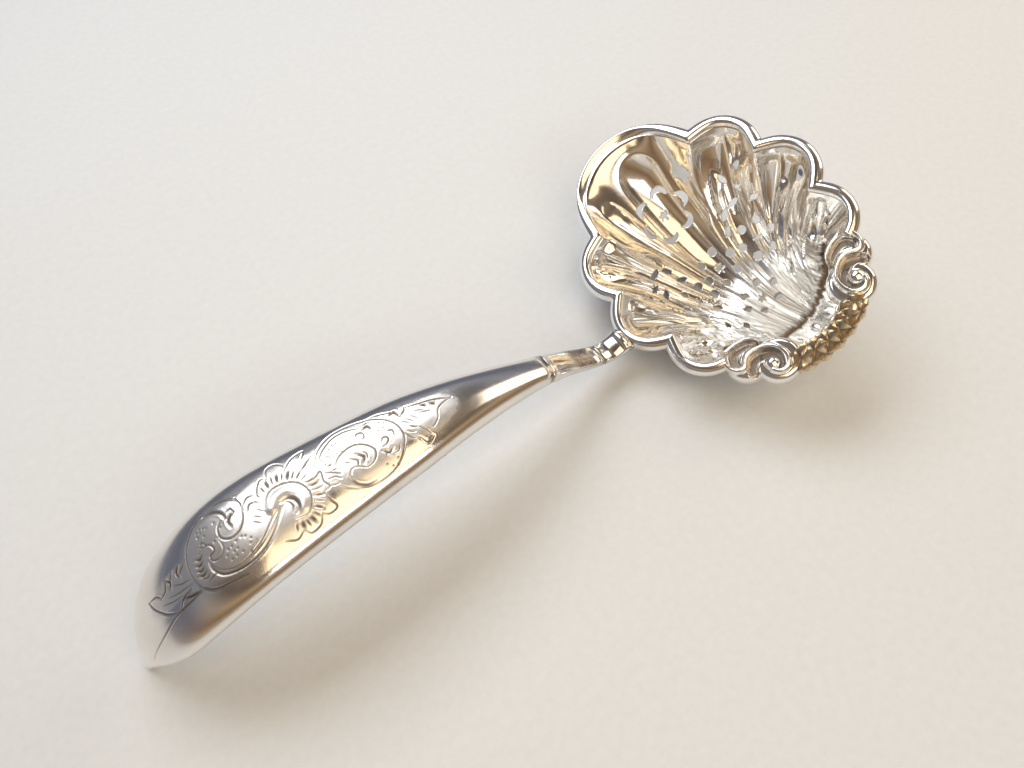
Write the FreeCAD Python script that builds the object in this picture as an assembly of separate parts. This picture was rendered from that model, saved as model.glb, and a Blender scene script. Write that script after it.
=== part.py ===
"""A silver sugar sifter: a pierced scallop bowl set crosswise on an arched, hollow handle.

All lengths are in millimetres. The frame stands on the table: +Z is up, +X runs from the
handle's end to the bowl, and the origin is the middle of the small worn flat under the bowl.
"""
import FreeCAD, Part
import math
import os

Vector = FreeCAD.Vector

# Bowl: its lip lies along U and its hinge along minus U, V runs across, N rises from the rim
bowl_length = 81.7
bowl_width = 64.2
bowl_depth = 24.0
bowl_sheet = 0.9
bowl_tilt_degrees = 28.0
bowl_swing_degrees = 3.5
rest_flat_depth = 0.3
rest_sample_count = 60
cut_overrun = 8.0

# Bowl's dish: its lowest line, how far it reaches each way, and how steeply it rises
low_line_share = -0.153
lip_reach_share = 1.090
hinge_reach_share = 0.759
side_reach_share = 0.872
dish_power = 1.95
lip_power_change = -0.30
hinge_power_change = 0.10
rim_pull_power = 5
pull_length = 4.0
flute_depth = 1.0
flute_row_count = 12
flute_turn = 10.0
flute_turn_share = 0.5
rim_blend_share = 0.78
lobe_column_count = 9

# Lobes on the plus V side: centre U and radius in shares of half the length, centre V of half the width
lobe_shares = ((0.552, 0.000, 0.448), (0.322, 0.548, 0.262), (-0.053, 0.670, 0.2595), (-0.417, 0.567, 0.235))
loop_shares = (-0.689, 0.520, 0.122)
volute_shares = (-0.816, 0.368, 0.137)
last_lobe_extra_degrees = 8.0

# Rim border
rim_width = 2.4
rim_height = 3.2
rim_section_shares = ((0.00, 0.34), (-0.03, 0.18), (0.10, -0.02), (0.50, -0.08), (0.95, -0.03),
                      (1.10, 0.30), (1.08, 0.62), (0.80, 1.00))
cusp_inset_share = 1.35
cusp_blend_share = 0.22

# Hinge bar between the scrolls
hinge_half_span = 6.4
hinge_outer_half_span = 9.8
hinge_bar_width = 4.4
hinge_bar_height = 4.2
hinge_bow = 1.7
hinge_diamond_rise = 0.5
hinge_diamond_count = 8
hinge_section_shares = ((0.00, 1.00), (0.00, 0.30), (0.14, 0.05), (0.56, -0.05), (0.94, 0.22), (1.00, 0.64),
                        (0.84, 1.00))
hinge_diamond_rows = (2, 3, 4)
seat_overlap = 0.3

# Bowl's edge along the hinge bar and under the scrolls: shares of it where each part starts, and each
# cusp's flute
hinge_edge_drop = 1.5
scroll_edge_drop = 2.6
edge_height = 1.9
edge_blend_share = 0.20
edge_hinge_share = 0.30
edge_notch_share = 0.50
edge_loop_shares = (0.75, 1.00)
edge_loop_degrees = (-20.0, 15.0)
edge_step_count = 5
cusp_edge_shares = (0.20, 0.50, 0.90)

# Scrolls, cast with their plate
scroll_plate_drop = 1.5
scroll_plate_height = 4.6
scroll_wire_radius = 1.15
scroll_wire_drop = 0.9
scroll_eye_radius = 1.5
volute_turn_degrees = (205.0, -175.0)
scroll_end_share = 0.36
scroll_point_count = 16
loop_turn_degrees = (-70.0, 150.0)
ring_point_count = 9
ring_pole_share = 1.12

# Piercings
hole_radius = 0.95
star_radius = 1.5
star_waist_share = 0.36
star_point_count = 6
lens_half_length = 1.75
lens_half_width = 0.65
crescent_radius = 2.1
crescent_bite_share = 0.75
pierce_reach = 3.6
rosette_radius = 4.6
lip_rosette_radius = 5.3
lip_rosette_degrees = 30.0
rosette_petal_count = 6
rosette_places = ((0.009, 0.0, 30.0), (-0.351, 0.0, 30.0), (-0.082, 0.361, -6.0), (-0.082, -0.361, -31.0))
lip_rosette_share = 0.471
corner_star_shares = (0.173, 0.520)
corner_lens_shares = ((0.312, 0.486), (0.075, 0.511), (0.212, 0.567))
corner_crescent_shares = ((0.187, 0.430), (0.217, 0.343), (0.109, 0.296))
oval_shares = ((-0.305, 0.377), (-0.408, 0.302))

# Handle: places along the path from the tip to the joint, in shares of its length and its rise
handle_length = 128.2
handle_rise = 27.4
handle_half_width = 12.0
handle_dome = 4.6
handle_back_dome = 1.7
handle_sheet = 0.8
core_clearance = 0.45
path_shares = ((-1.000, 0.010), (-0.984, 0.210), (-0.964, 0.390), (-0.936, 0.515), (-0.905, 0.630),
               (-0.842, 0.815), (-0.780, 0.935), (-0.710, 0.990), (-0.600, 1.000), (-0.468, 0.980),
               (-0.343, 0.880), (-0.220, 0.697), (-0.156, 0.565), (-0.108, 0.430), (-0.070, 0.325),
               (-0.038, 0.268), (-0.012, 0.275), (0.010, 0.305))
width_shares = ((-1.000, 0.12), (-0.984, 0.31), (-0.964, 0.55), (-0.936, 0.79), (-0.905, 0.91),
                (-0.842, 0.98), (-0.780, 1.00), (-0.710, 0.97), (-0.600, 0.87), (-0.468, 0.74),
                (-0.343, 0.53), (-0.220, 0.340), (-0.156, 0.290), (-0.094, 0.258), (-0.045, 0.250),
                (-0.020, 0.262), (0.010, 0.310))
dome_shares = ((-1.000, 0.20), (-0.964, 0.48), (-0.905, 0.75), (-0.842, 0.88), (-0.710, 1.00),
               (-0.468, 1.00), (-0.343, 0.85), (-0.220, 0.56), (-0.156, 0.36), (-0.094, 0.24), (-0.030, 0.24),
               (0.010, 0.46))
back_shares = ((-1.000, 0.70), (-0.936, 0.90), (-0.842, 1.00), (-0.343, 1.00), (-0.195, 0.85), (-0.094, 0.70),
               (-0.030, 0.70), (0.010, 1.30))
section_shares = ((-1.00, 0.00), (-1.00, 0.55), (-0.62, 1.08), (0.00, 1.16), (0.62, 1.08), (1.00, 0.55),
                  (1.00, 0.00))
neck_share = -0.195
handle_station_count = 26
stem_station_count = 12
closed_tip_count = 2

# Stem's tongue, which the handle's filling grips
tongue_length = 22.0
tongue_half_width = 2.1
tongue_thickness = 1.4


def span(start, end, count):
    """Evenly spaced values from start to end, both included."""
    return [start + (end - start) * i / (count - 1) for i in range(count)]


def smooth(x):
    """Rises gently from 0 to 1."""
    x = min(max(x, 0.0), 1.0)
    return x * x * (3 - 2 * x)


def read_table(table, x):
    """The value of a table at x, with straight runs between its places."""
    for (x0, y0), (x1, y1) in zip(table, table[1:]):
        if x <= x1:
            return y0 + (y1 - y0) * max(x - x0, 0.0) / (x1 - x0)
    return table[-1][1]


def knots_for(count, degree):
    """Clamped, even knots for a number of poles."""
    spans = count - degree
    return list(range(spans + 1)), [degree + 1] + [1] * (spans - 1) + [degree + 1]


def skin_surface(rows, row_degree=3, column_degree=3):
    """One smooth surface pulled by a grid of points. Its border depends on the border points alone."""
    row_degree = min(row_degree, len(rows) - 1)
    column_degree = min(column_degree, len(rows[0]) - 1)
    u_knots, u_mults = knots_for(len(rows), row_degree)
    v_knots, v_mults = knots_for(len(rows[0]), column_degree)
    surface = Part.BSplineSurface()
    surface.buildFromPolesMultsKnots(rows, u_mults, v_mults, u_knots, v_knots, False, False,
                                     row_degree, column_degree)
    return surface


def sheet_face(rows, row_degree=3, column_degree=3):
    return skin_surface(rows, row_degree, column_degree).toShape()


def curve_edge(points, degree=3):
    """The edge that borders a face with these border points."""
    degree = min(degree, len(points) - 1)
    knots, mults = knots_for(len(points), degree)
    curve = Part.BSplineCurve()
    curve.buildFromPolesMultsKnots(points, mults, knots, False, degree)
    return curve.toShape()


def strip_face(points_a, points_b):
    """A face ruled between two borders."""
    return sheet_face([points_a, points_b], 1, 3)


def cap_face(*borders):
    """A flat face inside borders that meet end to end."""
    edges = [curve_edge(points) for points in borders]
    return Part.Face(Part.Wire(Part.__sortEdges__(edges)))


def solid_from(faces):
    """Sews faces into one solid, with its volume the right way round."""
    shell = Part.Compound(faces)
    shell.sewShape()
    solid = Part.Solid(shell.Shells[0])
    if solid.Volume < 0:
        solid.reverse()
    return solid


# Bowl axes and plan

half_length = bowl_length / 2
half_width = bowl_width / 2
tilt = math.radians(bowl_tilt_degrees)
swing = math.radians(bowl_swing_degrees)
across_level = Vector(math.cos(tilt), 0, math.sin(tilt))
axis_n = Vector(-math.sin(tilt), 0, math.cos(tilt))
axis_v = across_level * math.cos(swing) + Vector(0, 1, 0) * math.sin(swing)
axis_u = Vector(0, 1, 0) * math.cos(swing) - across_level * math.sin(swing)


def circle_from(shares):
    """A circle of the plan as centre U, centre V and radius."""
    return shares[0] * half_length, shares[1] * half_width, shares[2] * half_length


lobes = [circle_from(shares) for shares in lobe_shares]
loop_circle = circle_from(loop_shares)
volute_circle = circle_from(volute_shares)


def meeting(first, second, pick):
    """Where two circles of the plan cross: max picks the place away from the middle, min the other."""
    along_u = second[0] - first[0]
    along_v = second[1] - first[1]
    distance = math.hypot(along_u, along_v)
    reach = (distance ** 2 + first[2] ** 2 - second[2] ** 2) / (2 * distance)
    rise = math.sqrt(first[2] ** 2 - reach ** 2)
    foot_u = first[0] + along_u * reach / distance
    foot_v = first[1] + along_v * reach / distance
    found = [(foot_u - side * along_v * rise / distance, foot_v + side * along_u * rise / distance)
             for side in (1, -1)]
    return pick(found, key=lambda place: math.hypot(*place))


cusps = [meeting(first, second, max) for first, second in zip(lobes, lobes[1:])]


def angle_on(circle, place):
    return math.atan2(place[1] - circle[1], place[0] - circle[0])


def on_circle(circle, angle):
    return circle[0] + circle[2] * math.cos(angle), circle[1] + circle[2] * math.sin(angle)


def cusp_mirror(place):
    return place[0], -place[1]


def outward_at_cusp(index):
    """The direction that halves a cusp between two lobes, away from the bowl."""
    total_u = 0.0
    total_v = 0.0
    for circle in lobes[index:index + 2]:
        angle = angle_on(circle, cusps[index])
        total_u += math.cos(angle)
        total_v += math.sin(angle)
    size = math.hypot(total_u, total_v)
    return total_u / size, total_v / size


def lobe_line(index):
    """Outer and inner rim places along a lobe, from its end nearer the lip to the other one."""
    circle = lobes[index]
    if index < len(cusps):
        end = angle_on(circle, cusps[index])
        last_out = outward_at_cusp(index)
    else:
        end = angle_on(circle, meeting(circle, loop_circle, max)) + math.radians(last_lobe_extra_degrees)
        last_out = (math.cos(end), math.sin(end))
    if index == 0:
        start = -end
        first_out = cusp_mirror(last_out)
    else:
        start = angle_on(circle, cusps[index - 1])
        first_out = outward_at_cusp(index - 1)
    line = []
    for share in span(0.0, 1.0, lobe_column_count):
        angle = start + (end - start) * share
        outer = on_circle(circle, angle)
        near_first = smooth(1 - share / cusp_blend_share)
        near_last = smooth(1 - (1 - share) / cusp_blend_share)
        plain = 1 - near_first - near_last
        way_u = math.cos(angle) * plain + first_out[0] * near_first + last_out[0] * near_last
        way_v = math.sin(angle) * plain + first_out[1] * near_first + last_out[1] * near_last
        size = math.hypot(way_u, way_v)
        at_cusp = near_first + (near_last if index < len(cusps) else 0.0)
        inset = rim_width * (1 + (cusp_inset_share - 1) * at_cusp)
        line.append((outer, (outer[0] - way_u / size * inset, outer[1] - way_v / size * inset)))
    return line


def all_lobe_lines():
    """Every lobe's rim places in order, from the minus V side round the lip to the plus V side."""
    plus = [lobe_line(index) for index in range(len(lobes))]
    minus = [[(cusp_mirror(outer), cusp_mirror(inner)) for outer, inner in reversed(line)]
             for line in reversed(plus[1:])]
    return minus + plus


# Bowl dish

hinge_line_u = hinge_bar_width - half_length
inner_drop = rim_section_shares[0][1] * rim_height


def dish_height(u, v):
    """Height of the plain dish's inside below the rim plane."""
    away = u - low_line_share * half_length
    reach = (lip_reach_share if away > 0 else hinge_reach_share) * half_length
    ratio = math.hypot(away / reach, v / (side_reach_share * half_width))
    lean = away / reach / ratio if ratio > 0 else 0.0
    power = dish_power + (lip_power_change * lean if lean > 0 else -hinge_power_change * lean)
    return -inner_drop - (bowl_depth - inner_drop) * (1 - ratio ** power)


def hinge_place(share):
    """A place on the hinge bar's inner line, share running from minus 1 to 1."""
    return hinge_line_u + hinge_bow * share ** 2, share * hinge_half_span


def edge_path():
    """Shares of the bowl's edge on its plus V side with their places and their drop below the rim."""
    path = []
    for share in span(0.0, 1.0, edge_step_count):
        path.append((share * edge_hinge_share,) + hinge_place(share) + (hinge_edge_drop,))
    trimmed = [(circle[0], circle[1], circle[2] - scroll_wire_radius / 2 - seat_overlap)
               for circle in (volute_circle, loop_circle)]
    path.append((edge_notch_share,) + meeting(*trimmed, min) + (scroll_edge_drop,))
    loop_places = span(*edge_loop_shares, edge_step_count)
    loop_turns = span(*edge_loop_degrees, edge_step_count)
    for share, turn in zip(loop_places, loop_turns):
        path.append((share,) + on_circle(trimmed[1], math.radians(turn)) + (scroll_edge_drop,))
    return path


edge_table = edge_path()


def edge_place(share):
    """A place on the bowl's edge along the hinge bar and under a scroll, with its drop below the rim."""
    side = 1 if share > 0 else -1
    for before, after in zip(edge_table, edge_table[1:]):
        if abs(share) <= after[0]:
            break
    part = (abs(share) - before[0]) / (after[0] - before[0])
    u, v, drop = [first + (last - first) * part for first, last in zip(before[1:], after[1:])]
    return u, side * v, drop


def turning_place(rim_pair, edge_share):
    """Where the way to a cusp turns towards it: straight inwards from the rim."""
    outer, inner = rim_pair
    inset = math.hypot(outer[0] - inner[0], outer[1] - inner[1])
    start_u, start_v, _ = edge_place(edge_share)
    turn = min(flute_turn, flute_turn_share * math.hypot(inner[0] - start_u, inner[1] - start_v))
    return (inner[0] - (outer[0] - inner[0]) / inset * turn,
            inner[1] - (outer[1] - inner[1]) / inset * turn)


def dish_point(rim_place, turning, edge_share, row_share, flute):
    """A place on the bowl's inside, on a curved way from its edge at the hinge to the rim."""
    start_u, start_v, start_drop = edge_place(edge_share)
    at_start = (1 - row_share) ** 2
    at_turn = 2 * row_share * (1 - row_share)
    at_end = row_share ** 2
    u = at_start * start_u + at_turn * turning[0] + at_end * rim_place[0]
    v = at_start * start_v + at_turn * turning[1] + at_end * rim_place[1]
    distance = math.hypot(rim_place[0] - start_u, rim_place[1] - start_v)
    power = max(1.0, min(rim_pull_power, distance / pull_length))
    rim_pull = -inner_drop - dish_height(*rim_place)
    start_pull = -start_drop - dish_height(start_u, start_v)
    height = dish_height(u, v) + rim_pull * row_share ** power + start_pull * (1 - row_share) ** power
    height -= flute_depth * flute * math.sin(math.pi * row_share)
    return Vector(u, v, height)


def dish_normal(u, v):
    """The plain dish's upward normal."""
    step = rim_width / half_length
    slope_u = (dish_height(u + step, v) - dish_height(u - step, v)) / (2 * step)
    slope_v = (dish_height(u, v + step) - dish_height(u, v - step)) / (2 * step)
    return Vector(-slope_u, -slope_v, 1).normalize()


def rim_section_point(outer, inner, section_share):
    """A point of the rim border's section, between its inner and outer lines."""
    width_share, drop_share = section_share
    return Vector(inner[0] + (outer[0] - inner[0]) * width_share,
                  inner[1] + (outer[1] - inner[1]) * width_share, -rim_height * drop_share)


def dish_grid(line, first_share, last_share):
    """Inside and outside points of one lobe's part of the bowl."""
    inside = []
    outside = []
    first_turning = turning_place(line[0], first_share)
    last_turning = turning_place(line[-1], last_share)
    for row in span(0.0, 1.0, flute_row_count):
        near_rim = smooth((row - rim_blend_share) / (1 - rim_blend_share))
        near_edge = smooth(1 - row / edge_blend_share)
        inner_row = []
        outer_row = []
        for (outer, inner), column in zip(line, span(0.0, 1.0, len(line))):
            edge_share = first_share + (last_share - first_share) * column
            turning = (first_turning[0] + (last_turning[0] - first_turning[0]) * column,
                       first_turning[1] + (last_turning[1] - first_turning[1]) * column)
            here = dish_point(inner, turning, edge_share, row, math.sin(math.pi * column))
            rim_in = rim_section_point(outer, inner, rim_section_shares[0])
            rim_out = rim_section_point(outer, inner, rim_section_shares[-1])
            beneath = dish_normal(here.x, here.y) * -bowl_sheet
            straight_down = Vector(0, 0, -edge_height)
            inner_row.append(here)
            outer_row.append(here + beneath * (1 - near_rim - near_edge) + (rim_out - rim_in) * near_rim
                             + straight_down * near_edge)
        inside.append(inner_row)
        outside.append(outer_row)
    return inside, outside


lines = all_lobe_lines()
edge_shares = [-1.0] + [-share for share in reversed(cusp_edge_shares)] + list(cusp_edge_shares) + [1.0]
grids = [dish_grid(line, first, last) for line, first, last in zip(lines, edge_shares, edge_shares[1:])]


def to_world(place, middle):
    """From the bowl's own axes to the part's frame."""
    return middle + axis_u * place.x + axis_v * place.y + axis_n * place.z


def bowl_middle_point():
    """Where the middle of the rim plane stands, so that the worn flat lies at the origin."""
    lowest = Vector(0, 0, 0)
    for _, outside in grids:
        skin = skin_surface([[to_world(place, Vector(0, 0, 0)) for place in row] for row in outside])
        across_end, along_end = skin.bounds()[1::2]
        for across in span(0.0, across_end, rest_sample_count):
            for along in span(0.0, along_end, rest_sample_count):
                lowest = min(lowest, skin.value(across, along), key=lambda place: place.z)
    return Vector(-lowest.x, -lowest.y, -lowest.z - rest_flat_depth)


bowl_middle = bowl_middle_point()


def world_row(row):
    return [to_world(place, bowl_middle) for place in row]


def between_skins(lower_grids, upper_grids):
    """The solid between two stacks of matching grids, given in the bowl's own axes."""
    faces = []
    pairs = [([world_row(row) for row in lower], [world_row(row) for row in upper])
             for lower, upper in zip(lower_grids, upper_grids)]
    for lower, upper in pairs:
        faces += [sheet_face(lower), sheet_face(upper)]
        faces.append(strip_face(lower[-1], upper[-1]))
        faces.append(strip_face(lower[0], upper[0]))
    for (lower, upper), column in ((pairs[0], 0), (pairs[-1], -1)):
        faces.append(strip_face([row[column] for row in lower], [row[column] for row in upper]))
    return solid_from(faces)


def below_table():
    """Everything under the table top, to cut the worn flats."""
    side = 4 * handle_length
    return Part.makeBox(side, side, cut_overrun, Vector(-side / 2, -side / 2, -cut_overrun))


def loft_solid(upper_rows, lower_rows):
    """A solid between an upper and a lower skin that share their two side edges, with flat ends."""
    faces = [sheet_face(upper_rows), sheet_face(lower_rows)]
    for end in (0, -1):
        faces.append(cap_face(upper_rows[end], lower_rows[end]))
    return solid_from(faces)


def largest(shape):
    """The biggest solid of a shape, without the slivers a cut may leave."""
    return max(shape.Solids, key=lambda solid: solid.Volume)


def cut_from(shape, *others):
    """A shape without the room that other pieces take up."""
    for other in others:
        shape = shape.cut(other)
    return largest(shape)


# Piercings


def pierce_axes(u, v):
    """A place on the plain dish with its normal and two directions along the sheet, in the part's frame."""
    normal = dish_normal(u, v)
    along = Vector(1, 0, 0) - normal * normal.x
    along.normalize()
    across = normal.cross(along)
    middle = to_world(Vector(u, v, dish_height(u, v)), bowl_middle)
    turned = [to_world(way, Vector(0, 0, 0)) for way in (along, across, normal)]
    return [middle] + turned


def outline_prism(edges, normal):
    """The room under a closed outline, reaching both ways through the sheet."""
    face = Part.Face(Part.Wire(Part.__sortEdges__(edges)))
    face.translate(normal * -pierce_reach)
    return face.extrude(normal * (2 * pierce_reach))


def hole_prism(place, along, across, normal):
    return Part.makeCylinder(hole_radius, 2 * pierce_reach, place - normal * pierce_reach, normal)


def star_prism(place, along, across, normal):
    corners = []
    for i in range(2 * star_point_count):
        reach = star_radius if i % 2 == 0 else star_radius * star_waist_share
        turn = math.pi * i / star_point_count
        corners.append(place + along * (reach * math.cos(turn)) + across * (reach * math.sin(turn)))
    return outline_prism(Part.makePolygon(corners + corners[:1]).Edges, normal)


def lens_prism(place, along, across, normal):
    """A leaf-shaped hole, long in the along direction."""
    ends = [place - along * lens_half_length, place + along * lens_half_length]
    edges = [Part.Arc(ends[0], place + across * (side * lens_half_width), ends[1]).toShape()
             for side in (1, -1)]
    return outline_prism(edges, normal)


def crescent_prism(place, along, across, normal):
    """A moon-shaped hole with its back towards the along direction."""
    tips = [place + across * (side * crescent_radius * crescent_bite_share) for side in (1, -1)]
    back = place + along * (crescent_radius * crescent_bite_share)
    front = place + along * (crescent_radius * (1 - crescent_bite_share))
    edges = [Part.Arc(tips[0], middle, tips[1]).toShape() for middle in (back, front)]
    return outline_prism(edges, normal)


def rosette_prisms(u, v, radius, first_degrees, make_petal):
    """A star with a ring of petals around it."""
    place, along, across, normal = pierce_axes(u, v)
    prisms = [star_prism(place, along, across, normal)]
    for i in range(rosette_petal_count):
        turn = math.radians(first_degrees) + 2 * math.pi * i / rosette_petal_count
        way = along * math.cos(turn) + across * math.sin(turn)
        side = across * math.cos(turn) - along * math.sin(turn)
        prisms.append(make_petal(place + way * radius, way, side, normal))
    return prisms


def make_piercings():
    """Every hole of the sieve as a solid to cut away."""
    prisms = rosette_prisms(lip_rosette_share * half_length, 0.0, lip_rosette_radius, lip_rosette_degrees,
                            crescent_prism)
    for u_share, v_share, first_degrees in rosette_places:
        prisms += rosette_prisms(u_share * half_length, v_share * half_width, rosette_radius, first_degrees,
                                 hole_prism)
    for side in (1, -1):
        u_share, v_share = corner_star_shares
        prisms.append(star_prism(*pierce_axes(u_share * half_length, side * v_share * half_width)))
        for u_share, v_share in corner_lens_shares + oval_shares:
            prisms.append(lens_prism(*pierce_axes(u_share * half_length, side * v_share * half_width)))
        for u_share, v_share in corner_crescent_shares:
            prisms.append(crescent_prism(*pierce_axes(u_share * half_length, side * v_share * half_width)))
    return prisms


def make_bowl():
    """The fluted, pierced dish, from the hinge to the underside of the rim border."""
    dish = between_skins([outside for _, outside in grids], [inside for inside, _ in grids])
    return cut_from(dish.cut(make_piercings()), below_table())


def make_rim_border():
    """The rounded border that follows the lobes, mitred at each cusp."""
    faces = []
    ends = []
    for line in lines:
        section_rows = [[rim_section_point(outer, inner, shares) for shares in rim_section_shares]
                        for outer, inner in line]
        section_rows = [world_row(row) for row in section_rows]
        faces.append(sheet_face(section_rows))
        faces.append(strip_face([row[0] for row in section_rows], [row[-1] for row in section_rows]))
        ends += [section_rows[0], section_rows[-1]]
    for row in (ends[0], ends[-1]):
        faces.append(cap_face(row, [row[0], row[-1]]))
    return solid_from(faces)


# Hinge bar and scrolls


def triangle(a, b, c):
    return Part.Face(Part.makePolygon([a, b, c, a]))


def hinge_bar_point(share, section_share):
    """A corner of the hinge bar, share running from minus 1 to 1 along it."""
    width_share, drop_share = section_share
    start_u, start_v = hinge_place(share)
    u = start_u + seat_overlap - (hinge_bar_width + seat_overlap) * width_share
    v = start_v + share * (hinge_outer_half_span - hinge_half_span) * width_share
    return to_world(Vector(u, v, -hinge_bar_height * drop_share), bowl_middle)


def make_hinge_bar():
    """The bar of diamond facets that closes the shell across its hinge."""
    rings = [[hinge_bar_point(share, section_share) for section_share in hinge_section_shares]
             for share in span(-1.0, 1.0, hinge_diamond_count + 1)]
    faces = []
    for ring, following in zip(rings, rings[1:]):
        for i in range(len(ring)):
            j = (i + 1) % len(ring)
            corners = [ring[i], following[i], following[j], ring[j]]
            if i in hinge_diamond_rows:
                outward = (corners[2] - corners[0]).cross(corners[3] - corners[1]).normalize()
                middle = (corners[0] + corners[1] + corners[2] + corners[3]) * (1 / len(corners))
                if outward.dot(middle - hinge_bar_point(0.0, (0.5, 0.5))) < 0:
                    outward = -outward
                apex = middle + outward * hinge_diamond_rise
                for first, second in zip(corners, corners[1:] + corners[:1]):
                    faces.append(triangle(first, second, apex))
            else:
                faces.append(triangle(corners[0], corners[1], corners[2]))
                faces.append(triangle(corners[0], corners[2], corners[3]))
    for ring in (rings[0], rings[-1]):
        faces.append(Part.Face(Part.makePolygon(ring + ring[:1])))
    return solid_from(faces)


def tube(points, radius):
    """A round wire along points that lie in one plane across the bowl's N axis."""
    rows = []
    for i, point in enumerate(points):
        before = points[max(i - 1, 0)]
        after = points[min(i + 1, len(points) - 1)]
        way = (after - before).normalize()
        side = axis_n.cross(way)
        row = []
        for turn in span(0.0, 2 * math.pi, ring_point_count):
            way_out = side * math.sin(turn) - axis_n * math.cos(turn)
            row.append(point + way_out * (radius * ring_pole_share))
        row[-1] = row[0]
        rows.append(row)
    caps = [Part.Face(Part.Wire(curve_edge(row))) for row in (rows[0], rows[-1])]
    return solid_from([sheet_face(rows)] + caps)


def plan_point(u, v, drop):
    return to_world(Vector(u, v, -drop), bowl_middle)


def circle_wire(circle, side, turns, shrink_share):
    """A round wire along a circle of the plan, between two turns, its reach shrinking to a share."""
    points = []
    for share in span(0.0, 1.0, scroll_point_count):
        reach = (circle[2] - scroll_wire_radius) * (1 + (shrink_share - 1) * share)
        turn = math.radians(turns[0] + (turns[1] - turns[0]) * share)
        u, v = on_circle((circle[0], circle[1], reach), turn)
        points.append(plan_point(u, side * v, scroll_wire_drop))
    return tube(points, scroll_wire_radius)


def make_scroll(side):
    """A corner of the shell: a volute and a small loop on their round blocks."""
    blocks = []
    for circle in (loop_circle, volute_circle):
        base = plan_point(circle[0], side * circle[1], scroll_plate_drop + scroll_plate_height)
        block_radius = circle[2] - scroll_wire_radius / 2
        blocks.append(Part.makeCylinder(block_radius, scroll_plate_height, base, axis_n))
    eye = plan_point(volute_circle[0], side * volute_circle[1], scroll_wire_drop)
    wires = [circle_wire(loop_circle, side, loop_turn_degrees, 1.0),
             circle_wire(volute_circle, side, volute_turn_degrees, scroll_end_share),
             Part.makeSphere(scroll_eye_radius, eye)]
    return blocks[0].fuse([blocks[1]] + wires)


# Handle and stem

joint = plan_point(lobes[2][0], -(lobes[2][1] + lobes[2][2]), 0.0)


def path_places(shares):
    return [Vector(joint.x + share * handle_length, joint.y, rise * handle_rise) for share, rise in shares]


def handle_path():
    """Places along the handle from tip to foot, closer together on the stem, and each one's normal."""
    curve = Part.BSplineCurve()
    curve.interpolate(path_places(path_shares))
    neck = curve.parameter(path_places([(neck_share, read_table(path_shares, neck_share))])[0])
    first = curve.FirstParameter
    last = curve.LastParameter
    marks = curve.toShape(first, neck).discretize(Number=handle_station_count)
    marks += curve.toShape(neck, last).discretize(Number=stem_station_count)[1:]
    places = []
    for mark in marks:
        way = Vector(*curve.tangent(curve.parameter(mark))[0]).normalize()
        places.append((mark, Vector(-way.z, 0, way.x)))
    return places


stations = handle_path()


def section_row(station, half_width, height, inset, closed):
    """One section of a domed skin, sunk by an inset. A closed one comes back to the path at its edges."""
    place, normal = station
    sink = math.copysign(inset, height)
    row = []
    for across, up in section_shares:
        rise = up * height - sink
        if closed and rise * height < 0:
            rise = 0.0
        row.append(place + Vector(0, across * (half_width - inset), 0) + normal * rise)
    return row


def skin_rows(picked, inset=0.0, closed=True):
    """Front and back section rows for the picked stations, an inset inside the handle's own surface."""
    front = []
    back = []
    for station in picked:
        share = (station[0].x - joint.x) / handle_length
        half_width = handle_half_width * read_table(width_shares, share)
        dome = handle_dome * read_table(dome_shares, share)
        hollow = handle_back_dome * read_table(back_shares, share)
        front.append(section_row(station, half_width, dome, inset, closed))
        back.append(section_row(station, half_width, -hollow, inset, closed))
    return front, back


def straight_rows(rows):
    return [[row[0], row[-1]] for row in rows]


def make_handle_halves():
    """The domed front and the shallow back of the hollow handle, which meet along its edges."""
    shell_stations = stations[:handle_station_count]
    hollow_stations = stations[closed_tip_count:handle_station_count + 1]
    front, back = skin_rows(shell_stations)
    front_room, back_room = skin_rows(hollow_stations, handle_sheet, False)
    halves = []
    for rows, room_rows in ((front, front_room), (back, back_room)):
        room = loft_solid(room_rows, straight_rows(room_rows))
        halves.append(cut_from(loft_solid(rows, straight_rows(rows)), room, below_table()))
    return halves


def make_tongue():
    """The flat tongue that runs from the stem into the handle."""
    neck_place = stations[handle_station_count - 1][0]
    root = stations[handle_station_count]
    picked = [station for station in stations[:handle_station_count]
              if neck_place.x - station[0].x < tongue_length] + [root]
    corners = ((-1, -1), (-1, 1), (1, 1), (1, -1), (-1, -1))
    rows = [[place + Vector(0, across * tongue_half_width, 0) + normal * (up * tongue_thickness / 2)
             for across, up in corners] for place, normal in picked]
    faces = []
    for i in range(len(corners) - 1):
        faces.append(sheet_face([[row[i], row[i + 1]] for row in rows]))
    for row in (rows[0], rows[-1]):
        faces.append(Part.Face(Part.makePolygon(row)))
    return solid_from(faces)


def make_stem():
    """The strap from the handle's neck to its foot on the lobe, with the tongue."""
    front, back = skin_rows(stations[handle_station_count - 1:])
    return loft_solid(front, back).fuse(make_tongue())


def make_handle_core():
    """The filling under the handle's domed front."""
    picked = stations[closed_tip_count + 1:handle_station_count - 1]
    front, _ = skin_rows(picked, handle_sheet + core_clearance)
    return loft_solid(front, straight_rows(front))


def make_pieces():
    """Every piece by name, each cut to sit on the pieces made before it."""
    bowl = make_bowl()
    rim_border = make_rim_border()
    stem = cut_from(make_stem(), bowl, rim_border)
    handle_front, handle_back = [cut_from(half, stem) for half in make_handle_halves()]
    scroll_near = cut_from(make_scroll(-1), bowl, rim_border)
    scroll_far = cut_from(make_scroll(1), bowl, rim_border)
    return {
        "bowl": bowl,
        "rim_border": rim_border,
        "hinge_bar": cut_from(make_hinge_bar(), bowl, scroll_near, scroll_far),
        "scroll_near": scroll_near,
        "scroll_far": scroll_far,
        "stem": stem,
        "handle_front": handle_front,
        "handle_back": handle_back,
        "handle_core": cut_from(make_handle_core(), stem),
    }


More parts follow.
